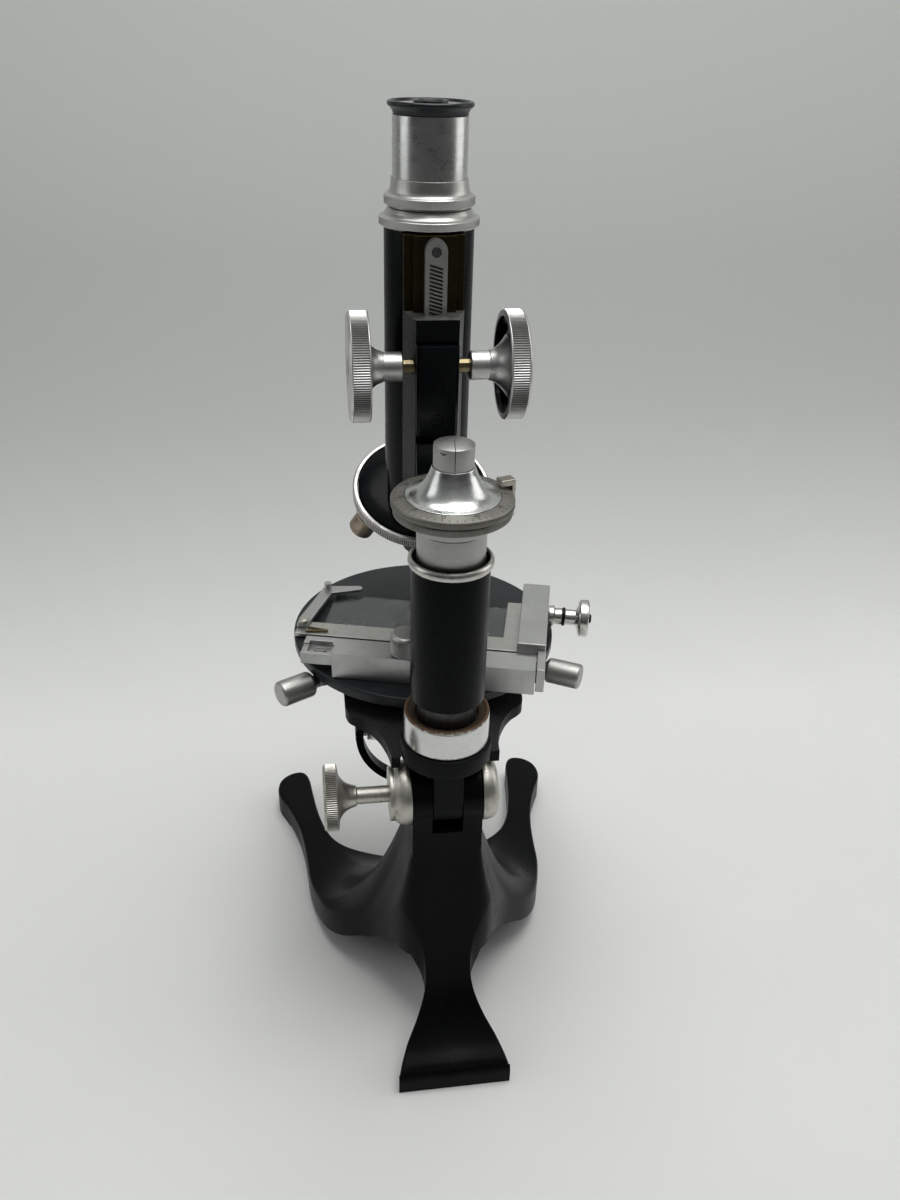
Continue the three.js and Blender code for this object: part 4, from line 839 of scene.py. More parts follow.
@dataclass
class Foot:
    """Cast foot on three toes, with the two hinge ears and their caps."""

    half_outline: Sequence[Pair] = (
        (0, -49), (21.9, -49), (21.3, -46.5), (19.7, -42), (17.3, -37.1), (13.7, -32.2), (11, -28.3),
        (9.5, -25.6), (9, -23.4), (9.4, -21), (10.8, -19.2), (13.4, -17.4), (17, -14.2), (20.3, -8.5),
        (23.5, -1.5), (27.8, 5.5), (33.5, 12), (40.2, 18.8), (45.3, 25.5), (49, 33), (52, 43),
        (54.2, 54), (55.2, 66), (56.7, 80), (59.3, 93), (64, 107), (68.5, 117), (69.3, 124),
        (67.5, 130.5), (62.5, 135), (56.5, 135.5), (53.2, 130), (51.5, 118), (49.5, 104), (46.5, 91),
        (42.5, 81), (37, 74), (29.5, 68.5), (20, 64), (10, 61.5), (0, 60.7),
    )
    ear_r: float = 11.5
    ear_out: float = 13.2
    ear_in: float = 5.8
    bolt_r: float = 3.4
    edge: float = 1.3
    insets: Sequence[float] = (0.12, 0.4, 0.75, 1.0)
    spread: Sequence[Pair] = (
        (-90, 13), (-40, 15), (-10, 17), (15, 20), (35, 27), (60, 30), (75, 25), (90, 20),
    )
    rear_crest: Sequence[Pair] = ((-49, 6), (-47, 8.6), (-44, 9.8), (-36, 11.5), (-28, 13), (-10, 14))
    front_crest: Sequence[Pair] = ((0, 14), (60, 14.5), (95, 13.5), (135, 11.5))
    arch: Pair = (-38, 107)
    lip: float = 1.8
    wall: float = 13.0
    crown: float = 40.0
    grid: float = 1.5

    @staticmethod
    def table(rows: Sequence[Pair], value: float) -> float:
        """Straight-line interpolation in a table."""
        if value <= rows[0][0]:
            return rows[0][1]
        for (x0, y0), (x1, y1) in zip(rows, rows[1:]):
            if value <= x1:
                return y0 + (y1 - y0) * (value - x0) / (x1 - x0)
        return rows[-1][1]

    def height(self, x: float, y: float) -> float:
        """Height of the casting's top over one point of its plan."""
        dx = max(0.0, abs(x) - self.ear_out + 1.5)
        dy = max(0.0, abs(y) - self.ear_r + 2)
        bearing = math.degrees(math.atan2(y, abs(x) + 0.001))
        swell = (DATUM.hinge_z - 11) * math.exp(-math.hypot(dx, dy) / self.table(self.spread, bearing))
        crest = self.table(self.rear_crest if y < 0 else self.front_crest, y)
        return (swell ** 3 + crest ** 3) ** (1 / 3)

    def hollow(self, x: float, y: float) -> float:
        """Height of the casting's underside over one point of its plan."""
        if not self.arch[0] < y < self.arch[1]:
            return 0.0
        top = self.height(x, y)
        lift = min(self.crown, top - self.wall - 0.15 * max(0.0, top - 20))
        rise = min(1.0, (y - self.arch[0]) / 3)
        return max(self.lip, lift * rise)

    def outline(self) -> list[Vector]:
        """Smooth closed outline of the plan, anticlockwise."""
        right = [self.half_outline[1], *through(self.half_outline[1:-1], 4)][1:]
        left = [(-x, y) for x, y in reversed(right)]
        return [Vector(p) for p in [*right, *left]]

    def rings(self, line: Sequence[Vector]) -> list[list[Vector]]:
        """The outline and copies of it inside, that carry the rounded edge."""
        out = [list(line)]
        count = len(line)
        for inset in self.insets:
            ring = []
            for i, point in enumerate(line):
                along = (line[(i + 1) % count] - line[i - 1]).normalized()
                ring.append(point + Vector((-along.y, along.x)) * inset * self.edge)
            out.append(ring)
        return out

    def relief(self) -> bpy.types.Object:
        """The casting's body below the ears."""
        rings = self.rings(self.outline())
        count = len(rings[0])
        drops = [self.edge * (1 - math.sqrt(max(0.0, 1 - (1 - s) ** 2))) for s in (0, *self.insets)]
        inner = rings[-1]
        spots = list(inner)
        for i in range(-46, 47):
            for j in range(-32, 91):
                spot = Vector((i, j)) * self.grid
                if self.inside(spot, inner):
                    spots.append(spot)
        meshed = delaunay_2d_cdt(spots, [], [list(range(count))], 1, 1e-4)
        verts, faces = meshed[0], meshed[2]
        bm = bmesh.new()
        top = [bm.verts.new((v.x, v.y, self.height(v.x, v.y))) for v in verts]
        base = [bm.verts.new((v.x, v.y, self.hollow(v.x, v.y))) for v in verts]
        for face in faces:
            bm.faces.new([top[k] for k in face])
            bm.faces.new([base[k] for k in reversed(face)])
        rows = [[bm.verts.new((p.x, p.y, self.height(p.x, p.y) - drop)) for p in ring]
                for ring, drop in zip(rings[:-1], drops[:-1])]
        foot = [bm.verts.new((p.x, p.y, self.hollow(p.x, p.y))) for p in rings[0]]
        chain = [top[:count], rows[3], rows[2], rows[1], rows[0], foot, base[:count]]
        for high, low in zip(chain, chain[1:]):
            for i in range(count):
                j = (i + 1) % count
                bm.faces.new((high[i], high[j], low[j], low[i]))
        return Shop.settle(bm, "base_casting_look", Axis.Z.value, 50)

    @staticmethod
    def inside(spot: Vector, line: Sequence[Vector]) -> bool:
        """Whether a point lies inside a closed line, clear of it."""
        within = False
        previous = line[-1]
        for point in line:
            if (point - spot).length_squared < 0.5:
                return False
            if (point.y > spot.y) != (previous.y > spot.y):
                cross = (previous.x - point.x) * (spot.y - point.y) / (previous.y - point.y) + point.x
                within ^= spot.x < cross
            previous = point
        return within

    def casting(self) -> None:
        """Casting with ears, slot and bolt hole."""
        z = DATUM.hinge_z
        across = Matrix.Translation((0, 0, z)) @ Axis.X.value
        ears = Shop.turned(
            "ears", [(0, -self.ear_out), (self.ear_r, -self.ear_out), (self.ear_r, self.ear_out),
                     (0, self.ear_out)], across, 128, 0.35)
        post = box((-self.ear_out, self.ear_out), (-self.ear_r + 0.6, self.ear_r - 0.6), (z - 26, z))
        slot = rod(self.ear_r + 0.5, -self.ear_in, self.ear_in, across)
        gap = box((-self.ear_in, self.ear_in), (-20, 20), (z, z + 20))
        back = box((-self.ear_in, self.ear_in), (-34, 0), (z - self.ear_r - 0.4, z + 20))
        bolt = rod(self.bolt_r, -20, 20, across, 48)
        body = Shop.merge(self.relief(), [ears, post])
        Shop.merge(body, [slot, gap, back, bolt], "DIFFERENCE", 32)
        Shop.fit(body, "stand", CAST, ["base_casting"])

    def caps(self) -> None:
        """Domed caps outside the ears."""
        across = Matrix.Translation((0, 0, DATUM.hinge_z)) @ Axis.X.value
        inner = self.ear_out + 0.12
        left = [(3.6, -inner), (12.3, -inner), (12.3, -inner - 1.6), *through(
            [(12.2, -inner - 2.4), (11.6, -inner - 4.4), (10.2, -inner - 6.1)], 4),
            (10.3, -inner - 6.5), (10.3, -inner - 7.9), (3.6, -inner - 7.9)]
        Shop.fit(Shop.turned("hinge_cap_left_look", left, across, 128, 0.35), "stand", HINGE_NICKEL,
                 ["hinge_cap_left"])
        right = [(0, inner + 0.8), (5, inner + 0.8), (5, inner), (12.3, inner), (12.3, inner + 1.6),
                 *through([(12.2, inner + 2.4), (11.2, inner + 4.8), (8.2, inner + 6.5),
                           (0, inner + 7.1)], 5)]
        right[-1] = (0, inner + 7.1)
        Shop.fit(Shop.turned("hinge_cap_right_look", right, across, 128, 0.35), "stand", HINGE_NICKEL,
                 ["hinge_cap_right"])

    def build(self) -> None:
        """Builds the foot."""
        self.casting()
        self.caps()


@dataclass
class ClampScrew:
    """Hinge bolt with a knurled wheel on a trumpet-shaped hub."""

    rim_r: float = 12.5
    rim: Pair = (-46.2, -40.4)
    bolt_r: float = 3.2
    knurls: int = 96

    def build(self) -> None:
        """Builds the clamp screw."""
        out, inn = self.rim
        profile = [
            (0, out + 1.1), (4.2, out + 1.1), (4.6, out + 0.5), (11.4, out + 0.4), (11.9, out + 0.6),
            (self.rim_r - 0.25, out + 1.2), (self.rim_r, out + 1.3), (self.rim_r, out + 1.5),
            (self.rim_r, inn - 0.5), (self.rim_r, inn - 0.3), (self.rim_r - 0.25, inn - 0.2),
            (11.7, inn), (10.4, inn + 0.2),
            *through([(8.6, inn + 0.4), (6.4, -38.6), (5.0, -36.8), (4.1, -34.6), (3.9, -33.6)], 4),
            (self.bolt_r + 0.15, -33.4), (self.bolt_r, -33.2), (self.bolt_r, 12.2), (0, 12.2),
        ]
        band = Knurl(out + 1.5, inn - 0.5, self.rim_r - 0.01, self.knurls, 0.32)
        place = Matrix.Translation((0, 0, DATUM.hinge_z)) @ Axis.X.value
        piece = Shop.turned("clamp_screw_look", profile, place, 128, 0.15, [band])
        Shop.fit(piece, "clamp", HINGE_NICKEL, ["clamp_screw"])


@dataclass
class Limb:
    """Hinge tongue and boss, chromed cup, prism column and the bracket that carries the stage."""

    boss_r: float = 16.8
    boss: Pair = (127.2, 136.0)
    cup_r: float = 15.6
    cup: Pair = (136.12, 148.5)
    column_r: float = 10.92
    tongue_half: float = 5.5
    tongue_r: float = 11.3
    bracket: Pair = (122.93, 127.73)
    front_r: float = 35.6
    bracket_half: Sequence[Pair] = (
        (20.3, -1), (20.5, 2), (21.1, 6), (22.0, 9.5), (23.4, 13.8), (26, 19), (29.2, 23.2),
        (32.4, 25.8), (34.6, 28.4), (35.6, 32),
    )

    def boss_piece(self) -> None:
        """Tongue and round boss."""
        z = DATUM.hinge_z
        low, high = self.boss
        boss = Shop.turned("limb_boss_look", [
            (0, low), (self.boss_r - 1.6, low), (self.boss_r, low + 1.8), (self.boss_r, high - 0.6),
            (self.boss_r - 0.6, high), (0, high)], Axis.Z.value, 160, 0.5)
        across = Matrix.Translation((0, 0, z)) @ Axis.X.value
        knuckle = Shop.turned("knuckle", [
            (0, -self.tongue_half), (self.tongue_r, -self.tongue_half), (self.tongue_r, self.tongue_half),
            (0, self.tongue_half)], across, 128, 0.3)
        web = box((-self.tongue_half, self.tongue_half), (-self.tongue_r, self.tongue_r), (z, low + 1))
        piece = Shop.merge(boss, [knuckle, web])
        Shop.merge(piece, [rod(3.38, -20, 20, across, 48)], "DIFFERENCE")
        Shop.fit(piece, "limb", JAPAN_DULL, ["limb_boss"])

    def cup_piece(self) -> None:
        """Chromed cup round the column's foot."""
        low, high = self.cup
        r, bore = self.cup_r, self.column_r + 0.6
        piece = Shop.turned("pillar_cup_look", [
            (0, low), (r - 0.5, low), (r, low + 0.6), (r, high - 1.4), (r - 0.2, high - 0.8),
            (r - 0.1, high - 0.4), (r - 0.6, high), (r - 1.2, high - 0.1), (r - 1.7, high - 0.6),
            (bore, high - 1.5), (bore, high - 3), (0, high - 3)], Axis.Z.value, 160, 0.3)
        Shop.fit(piece, "limb", CUP_CHROME, ["pillar_cup"])
        Shop.tint(piece, RUST, lambda p: p.z > high - 3.2 and math.hypot(p.x, p.y) < r - 1.3)

    def bracket_piece(self) -> None:
        """Shaped bracket under the stage, with the web that joins it to the boss."""
        low, high = self.bracket
        half = [(self.boss_r + 0.22, -1), *through(self.bracket_half, 5)]
        front = [p for p in arc(0, DATUM.optic_y, self.front_r, -25, 90, 48) if p[0] > 0.01]
        half += [(self.front_r, DATUM.optic_y - 18), *[p for p in front if p[1] > DATUM.optic_y - 15]]
        right = [*half, (0, DATUM.optic_y + self.front_r)]
        left = [(-x, y) for x, y in reversed(half)]
        outline = [(0, 14), *right, *left]
        piece = Shop.plate("stage_bracket_look", outline, low, high, soft=0.0)
        holes = [rod(self.boss_r + 0.12, low - 2, high + 2),
                 rod(18.75, low - 2, high + 2, DATUM.optic())]
        Shop.merge(piece, holes, "DIFFERENCE", 28)
        web = box((-7.5, 7.5), (self.tongue_r + 1.2, 40), (DATUM.hinge_z + 6, low + 1))
        Shop.merge(web, [rod(self.boss_r + 0.12, 90, 140)], "DIFFERENCE", 28)
        Shop.merge(piece, [web], "UNION", 28)
        Shop.ease(piece, 0.5)
        Shop.fit(piece, "limb", CRACKLE, ["stage_bracket"])
        Shop.tint(piece, JAPAN_DULL, lambda p: low + 0.3 < p.z < high - 0.3 or p.z < low)

    def build(self) -> None:
        """Builds the limb."""
        self.boss_piece()
        self.cup_piece()
        self.bracket_piece()
        Shop.dress("prism_column", DARK_STEEL, 0.3)


@dataclass
class Stage:
    """Turning stage disc, its carrier and the two centring screws."""

    disc_r: float = 54.8
    bore_r: float = 13.0
    thick: float = 4.7
    carrier: Pair = (127.85, 134.25)
    sleeve_r: float = 18.4
    screw_angle: float = 29.0

    def disc(self) -> None:
        """Hard rubber disc with a rounded edge."""
        top, low = DATUM.stage_z, DATUM.stage_z - self.thick
        piece = Shop.turned("stage_disc_look", [
            (self.bore_r, low), (self.disc_r - 0.5, low), (self.disc_r, low + 0.5),
            (self.disc_r, top - 0.5), (self.disc_r - 0.5, top), (self.bore_r + 0.6, top),
            (self.bore_r, top - 0.6)], DATUM.optic(), 256, 0.4)
        Shop.fit(piece, "turntable", STAGE_EBONITE, ["stage_disc"])

    def spoke(self, angle: float) -> Matrix:
        """Place of a piece that lies along a spoke of the carrier."""
        turn = Matrix.Rotation(math.radians(angle), 4, "Z")
        return DATUM.optic(self.carrier[0] + 3.2) @ turn @ Axis.X.value

    def carrier_piece(self) -> None:
        """Carrier plate with the substage sleeve and two screw lugs."""
        low, high = self.carrier
        rim = self.disc_r - 7.8
        piece = Shop.turned("stage_carrier_look", [
            (self.sleeve_r - 2, low - 9.92), (self.sleeve_r, low - 9.92), (self.sleeve_r, low),
            (rim - 1, low), (rim, low + 1), (rim, high), (self.sleeve_r - 2, high)],
            DATUM.optic(), 192, 0.4)
        angles = (-180 + self.screw_angle, -self.screw_angle)
        Shop.merge(piece, [rod(3.0, rim - 9, rim + 3.2, self.spoke(a), 48) for a in angles])
        Shop.merge(piece, [rod(1.8, rim - 17, rim + 13, self.spoke(a), 32) for a in angles],
                   "DIFFERENCE")
        Shop.fit(piece, "limb", JAPAN_DULL, ["stage_carrier"])

    def screws(self) -> None:
        """Two plain-headed centring screws."""
        s = self.disc_r
        profile = [
            (0, s - 20.8), (1.6, s - 20.8), (1.6, s - 4.3), (2.7, s - 4.3), (2.7, s - 2.4), (2.4, s - 2.2),
            (2.7, s - 1.9), (2.7, s - 0.9), (3.4, s - 0.1), (4.7, s + 0.9), (5.2, s + 1.7), (5.2, s + 14.0),
            (4.9, s + 14.7), (4.4, s + 15), (0, s + 14.8),
        ]
        for name, angle in (("left", -180 + self.screw_angle), ("right", -self.screw_angle)):
            piece = Shop.turned(f"centring_screw_{name}_look", profile, self.spoke(angle), 96, 0.3)
            Shop.fit(piece, f"centring_{name}", SCREW_SATIN, [f"centring_screw_{name}"])

    def build(self) -> None:
        """Builds the stage."""
        self.disc()
        self.carrier_piece()
        self.screws()


@dataclass
class SlideMover:
    """Attached mechanical stage: bar, rail, block, holder, spring finger and the glass slide."""

    drum: Pair = (-1.6, -40.0)
    bar_top: float = 150.5
    knob_v: float = 5.0
    knob_z: float = 145.9

    def drum_piece(self) -> None:
        """Finely knurled drum that drives the rail."""
        z = self.bar_top
        profile = [
            (0, z - 2.9), (2.2, z - 2.9), (2.2, z + 0.35), (5.5, z + 0.35), (5.8, z + 0.7), (5.9, z + 0.8),
            (5.9, z + 1.0), (5.9, z + 8.0), (5.9, z + 8.3), (5.7, z + 8.6), (5.2, z + 9.1), (4.6, z + 9.3),
            (0, z + 9.4),
        ]
        place = DATUM.mover() @ Matrix.Translation((*self.drum, 0))
        piece = Shop.turned("x_drum_look", profile, place, 96, 0.2, [Knurl(z + 1, z + 8, 5.89, 84, 0.14)])
        Shop.fit(piece, "x_pinion", MOVER_SATIN, ["x_drum"])

    def knob_piece(self) -> None:
        """Forward-travel knob on its stepped shaft, with an end screw."""
        profile = [
            (0, 43.8), (1.9, 43.8), (1.9, 52.75), (4.4, 52.75), (4.4, 54.8), (3.5, 55.2), (3.5, 58.2),
            (3.9, 58.4), (3.9, 59.4), (3.3, 59.6), (3.3, 64.0), (4.6, 64.6), (7.2, 65.2), (7.8, 65.9),
            (7.8, 68.9), (7.2, 69.4), (2.2, 69.4), (2.2, 69.2), (1.9, 69.2), (1.9, 70.3), (1.5, 70.6),
            (0, 70.6),
        ]
        place = DATUM.mover() @ Matrix.Translation((0, self.knob_v, self.knob_z)) @ Axis.X.value
        piece = Shop.turned("y_knob_look", profile, place, 96, 0.25)
        Shop.fit(piece, "y_pinion", KNOB_CHROME, ["y_knob"])
        back = DATUM.mover().inverted()
        # Real black enamel on the raised ring and on the end screw.
        Shop.tint(piece, BLACK_AND_SHADE, lambda p: 58.25 < (back @ p).x < 59.55 or (back @ p).x > 69.6)

    def build(self) -> None:
        """Builds the slide mover."""
        self.drum_piece()
        self.knob_piece()
        for node, width in (("cross_bar", 0.35), ("x_rail", 0.25), ("y_block", 0.4)):
            Shop.dress(node, MOVER_SATIN, width)
        Shop.dress("holder_plate", ARM_STEEL, 0.2)
        Shop.dress("slide_finger", MOVER_SATIN, 0.25)
        Shop.dress("rail_screw", STEEL, 0.08)
        Shop.dress("finger_screw", NICKEL, 0.15)
        Shop.dress("finger_spring", BRASS, 0.05)
        Shop.dress("glass_slide", SLIDE_GLASS, 0.1)


@dataclass
class MirrorGroup:
    """Bar below the stage, turning fork, and the two-sided mirror in its cell."""

    mirror_r: float = 23.6
    fork_gap: float = 6.7
    band: float = 3.4
    drop: float = 26.5
    lean: float = -40.0

    def place(self) -> Matrix:
        """Centre of the mirror."""
        return DATUM.optic(DATUM.hinge_z - self.drop)

    def fork(self) -> None:
        """Bent strip with a pad at each end and a peg below."""
        reach = self.mirror_r + self.fork_gap
        band = [*arc(0, 0, reach, 172, 368, 72), *arc(0, 0, reach - self.band, 368, 172, 72)]
        upright = self.place() @ Matrix.Rotation(math.pi / 2, 4, "X")
        piece = Shop.plate("mirror_fork_look", band, -3, 3, upright, 0.0)
        across = self.place() @ Axis.X.value
        joins = [rod(3.6, -reach, -reach + self.band, across, 64),
                 rod(3.6, reach - self.band, reach, across, 64),
                 rod(4.6, -reach - 4.6, -reach + 1.4, self.place(), 64),
                 rod(2.6, -reach - 9.8, -reach - 3, self.place(), 64)]
        Shop.merge(piece, joins, "UNION", 30)
        Shop.merge(piece, [rod(1.5, -reach - 2, reach + 2, across, 32)], "DIFFERENCE", 30)
        Shop.ease(piece, 0.35)
        Shop.fit(piece, "fork", JAPAN_ARM, ["mirror_fork"])

    def mirrors(self) -> None:
        """Cell with trunnions, a flat glass and a hollow glass."""
        r, cell_r, reach = self.mirror_r, self.mirror_r + 1.5, self.mirror_r + self.fork_gap
        tip = self.place() @ Matrix.Rotation(math.radians(self.lean), 4, "X")
        cell = Shop.turned("mirror_cell_look", [
            (0, -0.8), (r + 0.1, -0.8), (r + 0.1, -3), (cell_r, -3), (cell_r, 3), (r + 0.1, 3),
            (r + 0.1, 0.8), (0, 0.8)], tip, 160, 0.25)
        across = tip @ Axis.X.value
        Shop.merge(cell, [rod(1.3, -reach + 1.2, -cell_r + 1, across, 32),
                          rod(1.3, cell_r - 1, reach - 1.2, across, 32)])
        Shop.fit(cell, "mirror", NICKEL, ["mirror_cell"])
        flat = [(0, 0.9), (r, 0.9), (r, 2.5), (r - 0.4, 2.7), (0, 2.7)]
        Shop.fit(Shop.turned("mirror_flat_look", flat, tip, 160, 0.1), "mirror", MIRROR, ["mirror_flat"])
        bowl = [(r * k / 8, -1.75 - 1.05 * (k / 8) ** 2) for k in range(9)]
        hollow = [*bowl, (r, -0.9), (0, -0.9)]
        Shop.fit(Shop.turned("mirror_concave_look", hollow, tip, 160, 0.0), "mirror", MIRROR,
                 ["mirror_concave"])

    def build(self) -> None:
        """Builds the mirror and its holder."""
        self.fork()
        self.mirrors()
        Shop.dress("mirror_bar", JAPAN_DULL, 0.5)


@dataclass
class Pillar:
    """Black sleeve with its bright ring, satin neck and the index pointer."""

    sleeve_r: float = 13.4
    bore_r: float = 11.1
    sleeve: Pair = (154.8, 207.4)
    neck_r: float = 11.75
    neck_top: float = 225.9

    def build(self) -> None:
        """Builds the pillar."""
        low, high = self.sleeve
        r = self.sleeve_r
        Shop.fit(Shop.turned("pillar_sleeve_look", [
            (self.bore_r, low), (r - 0.4, low), (r, low + 0.5), (r, high), (self.bore_r, high)],
            Axis.Z.value, 160, 0.2), "sleeve", JAPAN, ["pillar_sleeve"])
        bead = [(self.neck_r + 0.12, high + 0.12), (r + 0.4, high + 0.12), *through(
            [(r + 0.9, high + 0.6), (r + 1.15, high + 1.4), (r + 1.0, high + 2.5), (r + 0.4, high + 3.3),
             (r - 0.2, high + 3.4), (r - 0.6, high + 2.7)], 4),
            (r - 0.7, high + 1.5), (self.neck_r + 0.12, high + 1.4)]
        ring = Shop.fit(Shop.turned("sleeve_top_ring_look", bead, Axis.Z.value, 160, 0.1), "sleeve",
                        RING_CHROME, ["sleeve_top_ring"])
        # Painted shade in the groove between the bead and the neck.
        Shop.tint(ring, BLACK_AND_SHADE, lambda p: p.z < high + 2.2 and p.xy.length < r - 0.45)
        top = self.neck_top
        neck = [(5.2, high - 5), (self.bore_r - 0.12, high - 5), (self.bore_r - 0.12, high + 0.12),
                (self.neck_r - 0.15, high + 0.12), (self.neck_r - 0.15, top - 5.2),
                (self.neck_r - 0.3, top - 5.0), (self.neck_r, top - 4.8), (self.neck_r, top - 0.3),
                (self.neck_r - 0.3, top), (5.2, top)]
        Shop.fit(Shop.turned("neck_collar_look", neck, Axis.Z.value, 160, 0.12), "sleeve", PILLAR_SATIN,
                 ["neck_collar"])
        Shop.dress("pointer", NICKEL, 0.35)


@dataclass
class FineHead:
    """Graduated fine focus drum with its bell and cap."""

    drum_r: float = 20.1
    drum: Pair = (226.2, 232.3)
    bell_r: float = 15.5
    cap_r: float = 6.6
    cap: Pair = (242.5, 249.8)
    divisions: int = 50
    numbered_every: int = 5
    knurls: int = 140
    mark_turn: float = -95.0

    def drum_piece(self) -> None:
        """Drum with two knurled bands."""
        z, top = self.drum
        r = self.drum_r
        low = Knurl(z + 0.45, z + 2.3, r - 0.75, self.knurls, 0.42)
        high = Knurl(z + 3.45, z + 5.0, r - 0.01, self.knurls, 0.42)
        profile = [
            (5.75, z), (r - 1.5, z), (r - 0.95, z + 0.25), (r - 0.7, z + 0.4), (r - 0.7, z + 0.45),
            (r - 0.7, z + 2.3), (r - 0.7, z + 2.35), (r - 0.9, z + 2.55), (r - 1.35, z + 2.8),
            (r - 1.2, z + 2.95), (r - 0.3, z + 3.2), (r, z + 3.4), (r, z + 3.45), (r, z + 5.0),
            (r, z + 5.05), (r - 0.12, z + 5.3), (r - 0.4, z + 5.62), (self.bell_r + 0.15, top),
            (self.bell_r + 0.15, top - 1.2), (5.75, top - 1.2),
        ]
        piece = Shop.turned("fine_drum_look", profile, Axis.Z.value, 128, 0.06, [low, high])
        Shop.fit(piece, "fine_head", DRUM_SATIN, ["fine_drum"])

    def scale_height(self, r: float) -> float:
        """Height of the graduated cone at a radius."""
        outer, inner = self.drum_r - 0.4, self.bell_r + 0.15
        edge = self.drum[0] + 5.62
        return edge + (self.drum[1] - edge) * (outer - r) / (outer - inner)

    def divisions_piece(self) -> None:
        """Engraved lines round the drum's top and the circle inside them."""
        bm = bmesh.new()
        outer = self.drum_r - 0.55
        for k in range(self.divisions):
            turn = Matrix.Rotation(math.tau * k / self.divisions, 4, "Z")
            length = 2.0 if k % self.numbered_every == 0 else 1.25
            self.stroke(bm, turn, outer - length, outer, 0.11)
        Shop.fit(Shop.settle(bm, "drum_divisions", Axis.Z.value), "fine_head", BLACK_INK)
        inner, top = self.bell_r - 0.02, self.drum[1]
        ring = [(inner, top - 0.3), (inner + 0.3, top - 0.3), (inner + 0.3, top + 0.01), (inner, top + 0.04)]
        seam = Shop.turned("drum_seam", ring, Axis.Z.value, 128, 0.01)
        Shop.fit(seam, "fine_head", BLACK_INK)

    def stroke(self, bm: bmesh.types.BMesh, turn: Matrix, inner: float, outer: float, half: float) -> None:
        """Adds one thin raised line that runs outwards over the cone."""
        spots = []
        for lift in (-0.03, 0.02):
            for r, side in ((inner, -half), (outer, -half), (outer, half), (inner, half)):
                spots.append(bm.verts.new(turn @ Vector((r, side, self.scale_height(r) + lift))))
        for ring in ((3, 2, 1, 0), (4, 5, 6, 7), (0, 1, 5, 4), (1, 2, 6, 5), (2, 3, 7, 6), (3, 0, 4, 7)):
            bm.faces.new([spots[i] for i in ring])

    def numbers(self) -> None:
        """Numbers beside every fifth line."""
        r = self.drum_r - 3.25
        slope = math.atan2(self.scale_height(r) - self.scale_height(r + 1), 1.0)
        for k in range(0, self.divisions, self.numbered_every):
            curve = bpy.data.curves.new(f"figure_{k}", "FONT")
            curve.body = str(k)
            curve.size = 1.9
            curve.align_x = "CENTER"
            curve.align_y = "CENTER"
            curve.extrude = 0.03
            curve.resolution_u = 3
            text = bpy.data.objects.new(f"figure_{k}", curve)
            bpy.context.scene.collection.objects.link(text)
            bpy.context.view_layer.update()
            mesh = bpy.data.meshes.new_from_object(text)
            bpy.data.objects.remove(text)
            angle = math.tau * k / self.divisions
            lay = (Matrix.Rotation(angle, 4, "Z") @ Matrix.Translation((r, 0, self.scale_height(r) + 0.02))
                   @ Matrix.Rotation(slope, 4, "Y") @ Matrix.Rotation(math.pi / 2, 4, "Z"))
            mesh.transform(DATUM.to_frame() @ lay)
            piece = bpy.data.objects.new(f"drum_number_{k}", mesh)
            bpy.context.scene.collection.objects.link(piece)
            Shop.fit(piece, "fine_head", BROWN_INK)

    def bell_piece(self) -> None:
        """Polished hollow-flanked bell."""
        top = self.drum[1]
        cap_z = self.cap[0]
        flank = through([(self.bell_r, top + 0.15), (13.4, top + 0.75), (11.2, top + 2.2), (9.2, top + 4.8),
                         (7.8, top + 7.6), (6.95, cap_z - 0.12)], 7)
        profile = [(3.2, top - 1.08), (self.bell_r, top - 1.08), *flank, (3.2, cap_z - 0.12)]
        piece = Shop.turned("fine_bell_look", profile, Axis.Z.value, 192, 0.15)
        Shop.fit(piece, "fine_head", BELL_CHROME, ["fine_bell"])

    def cap_piece(self) -> None:
        """Cap with a shallow cone on top."""
        low, high = self.cap
        r = self.cap_r
        profile = [(0, low - 2), (3, low - 2), (3, low), (r, low), (r, high - 0.25), (r - 0.25, high),
                   (0, high + 1.3)]
        piece = Shop.turned("fine_cap_look", profile, Axis.Z.value, 160, 0.12)
        Shop.fit(piece, "fine_head", PILLAR_SATIN, ["fine_cap"])

    def cap_marks(self) -> None:
        """Index line over the cap and the small worn nick beside it."""
        low, high = self.cap
        r = self.cap_r
        side = Matrix.Rotation(math.radians(self.mark_turn), 4, "Z")
        bm = bmesh.new()
        path = [(0.1, high + 1.28), (r - 0.3, high + 0.06), (r - 0.02, high - 0.3), (r - 0.01, low + 0.4)]
        rows = []
        for reach, z in path:
            rows.append([bm.verts.new(side @ Vector((reach + out, half, z + up)))
                         for out, up in ((0.0, -0.05), (0.05, 0.03)) for half in (-0.13, 0.13)])
        for a, b in zip(rows, rows[1:]):
            for i, j in ((0, 1), (1, 3), (3, 2), (2, 0)):
                bm.faces.new((a[i], a[j], b[j], b[i]))
        for row in (rows[0], rows[-1]):
            bm.faces.new((row[0], row[1], row[3], row[2]))
        Shop.fit(Shop.settle(bm, "cap_index_line", Axis.Z.value), "fine_head", BLACK_INK)
        bm = bmesh.new()
        steps = 14
        edge = []
        for k in range(steps + 1):
            share = k / steps
            turn = math.radians(self.mark_turn - 44 + 22 * share)
            sag = 0.75 * (1 - (2 * share - 1) ** 2)
            thick = 0.06 + 0.5 * (1 - (2 * share - 1) ** 2)
            base = high - 1.15 - sag
            edge.append([bm.verts.new((reach * math.cos(turn), reach * math.sin(turn), z))
                         for reach in (r - 0.05, r + 0.025) for z in (base, base + thick)])
        for a, b in zip(edge, edge[1:]):
            for i, j in ((0, 1), (1, 3), (3, 2), (2, 0)):
                bm.faces.new((a[i], a[j], b[j], b[i]))
        for row in (edge[0], edge[-1]):
            bm.faces.new((row[0], row[1], row[3], row[2]))
        Shop.fit(Shop.settle(bm, "cap_nick", Axis.Z.value), "fine_head", BLACK_INK)

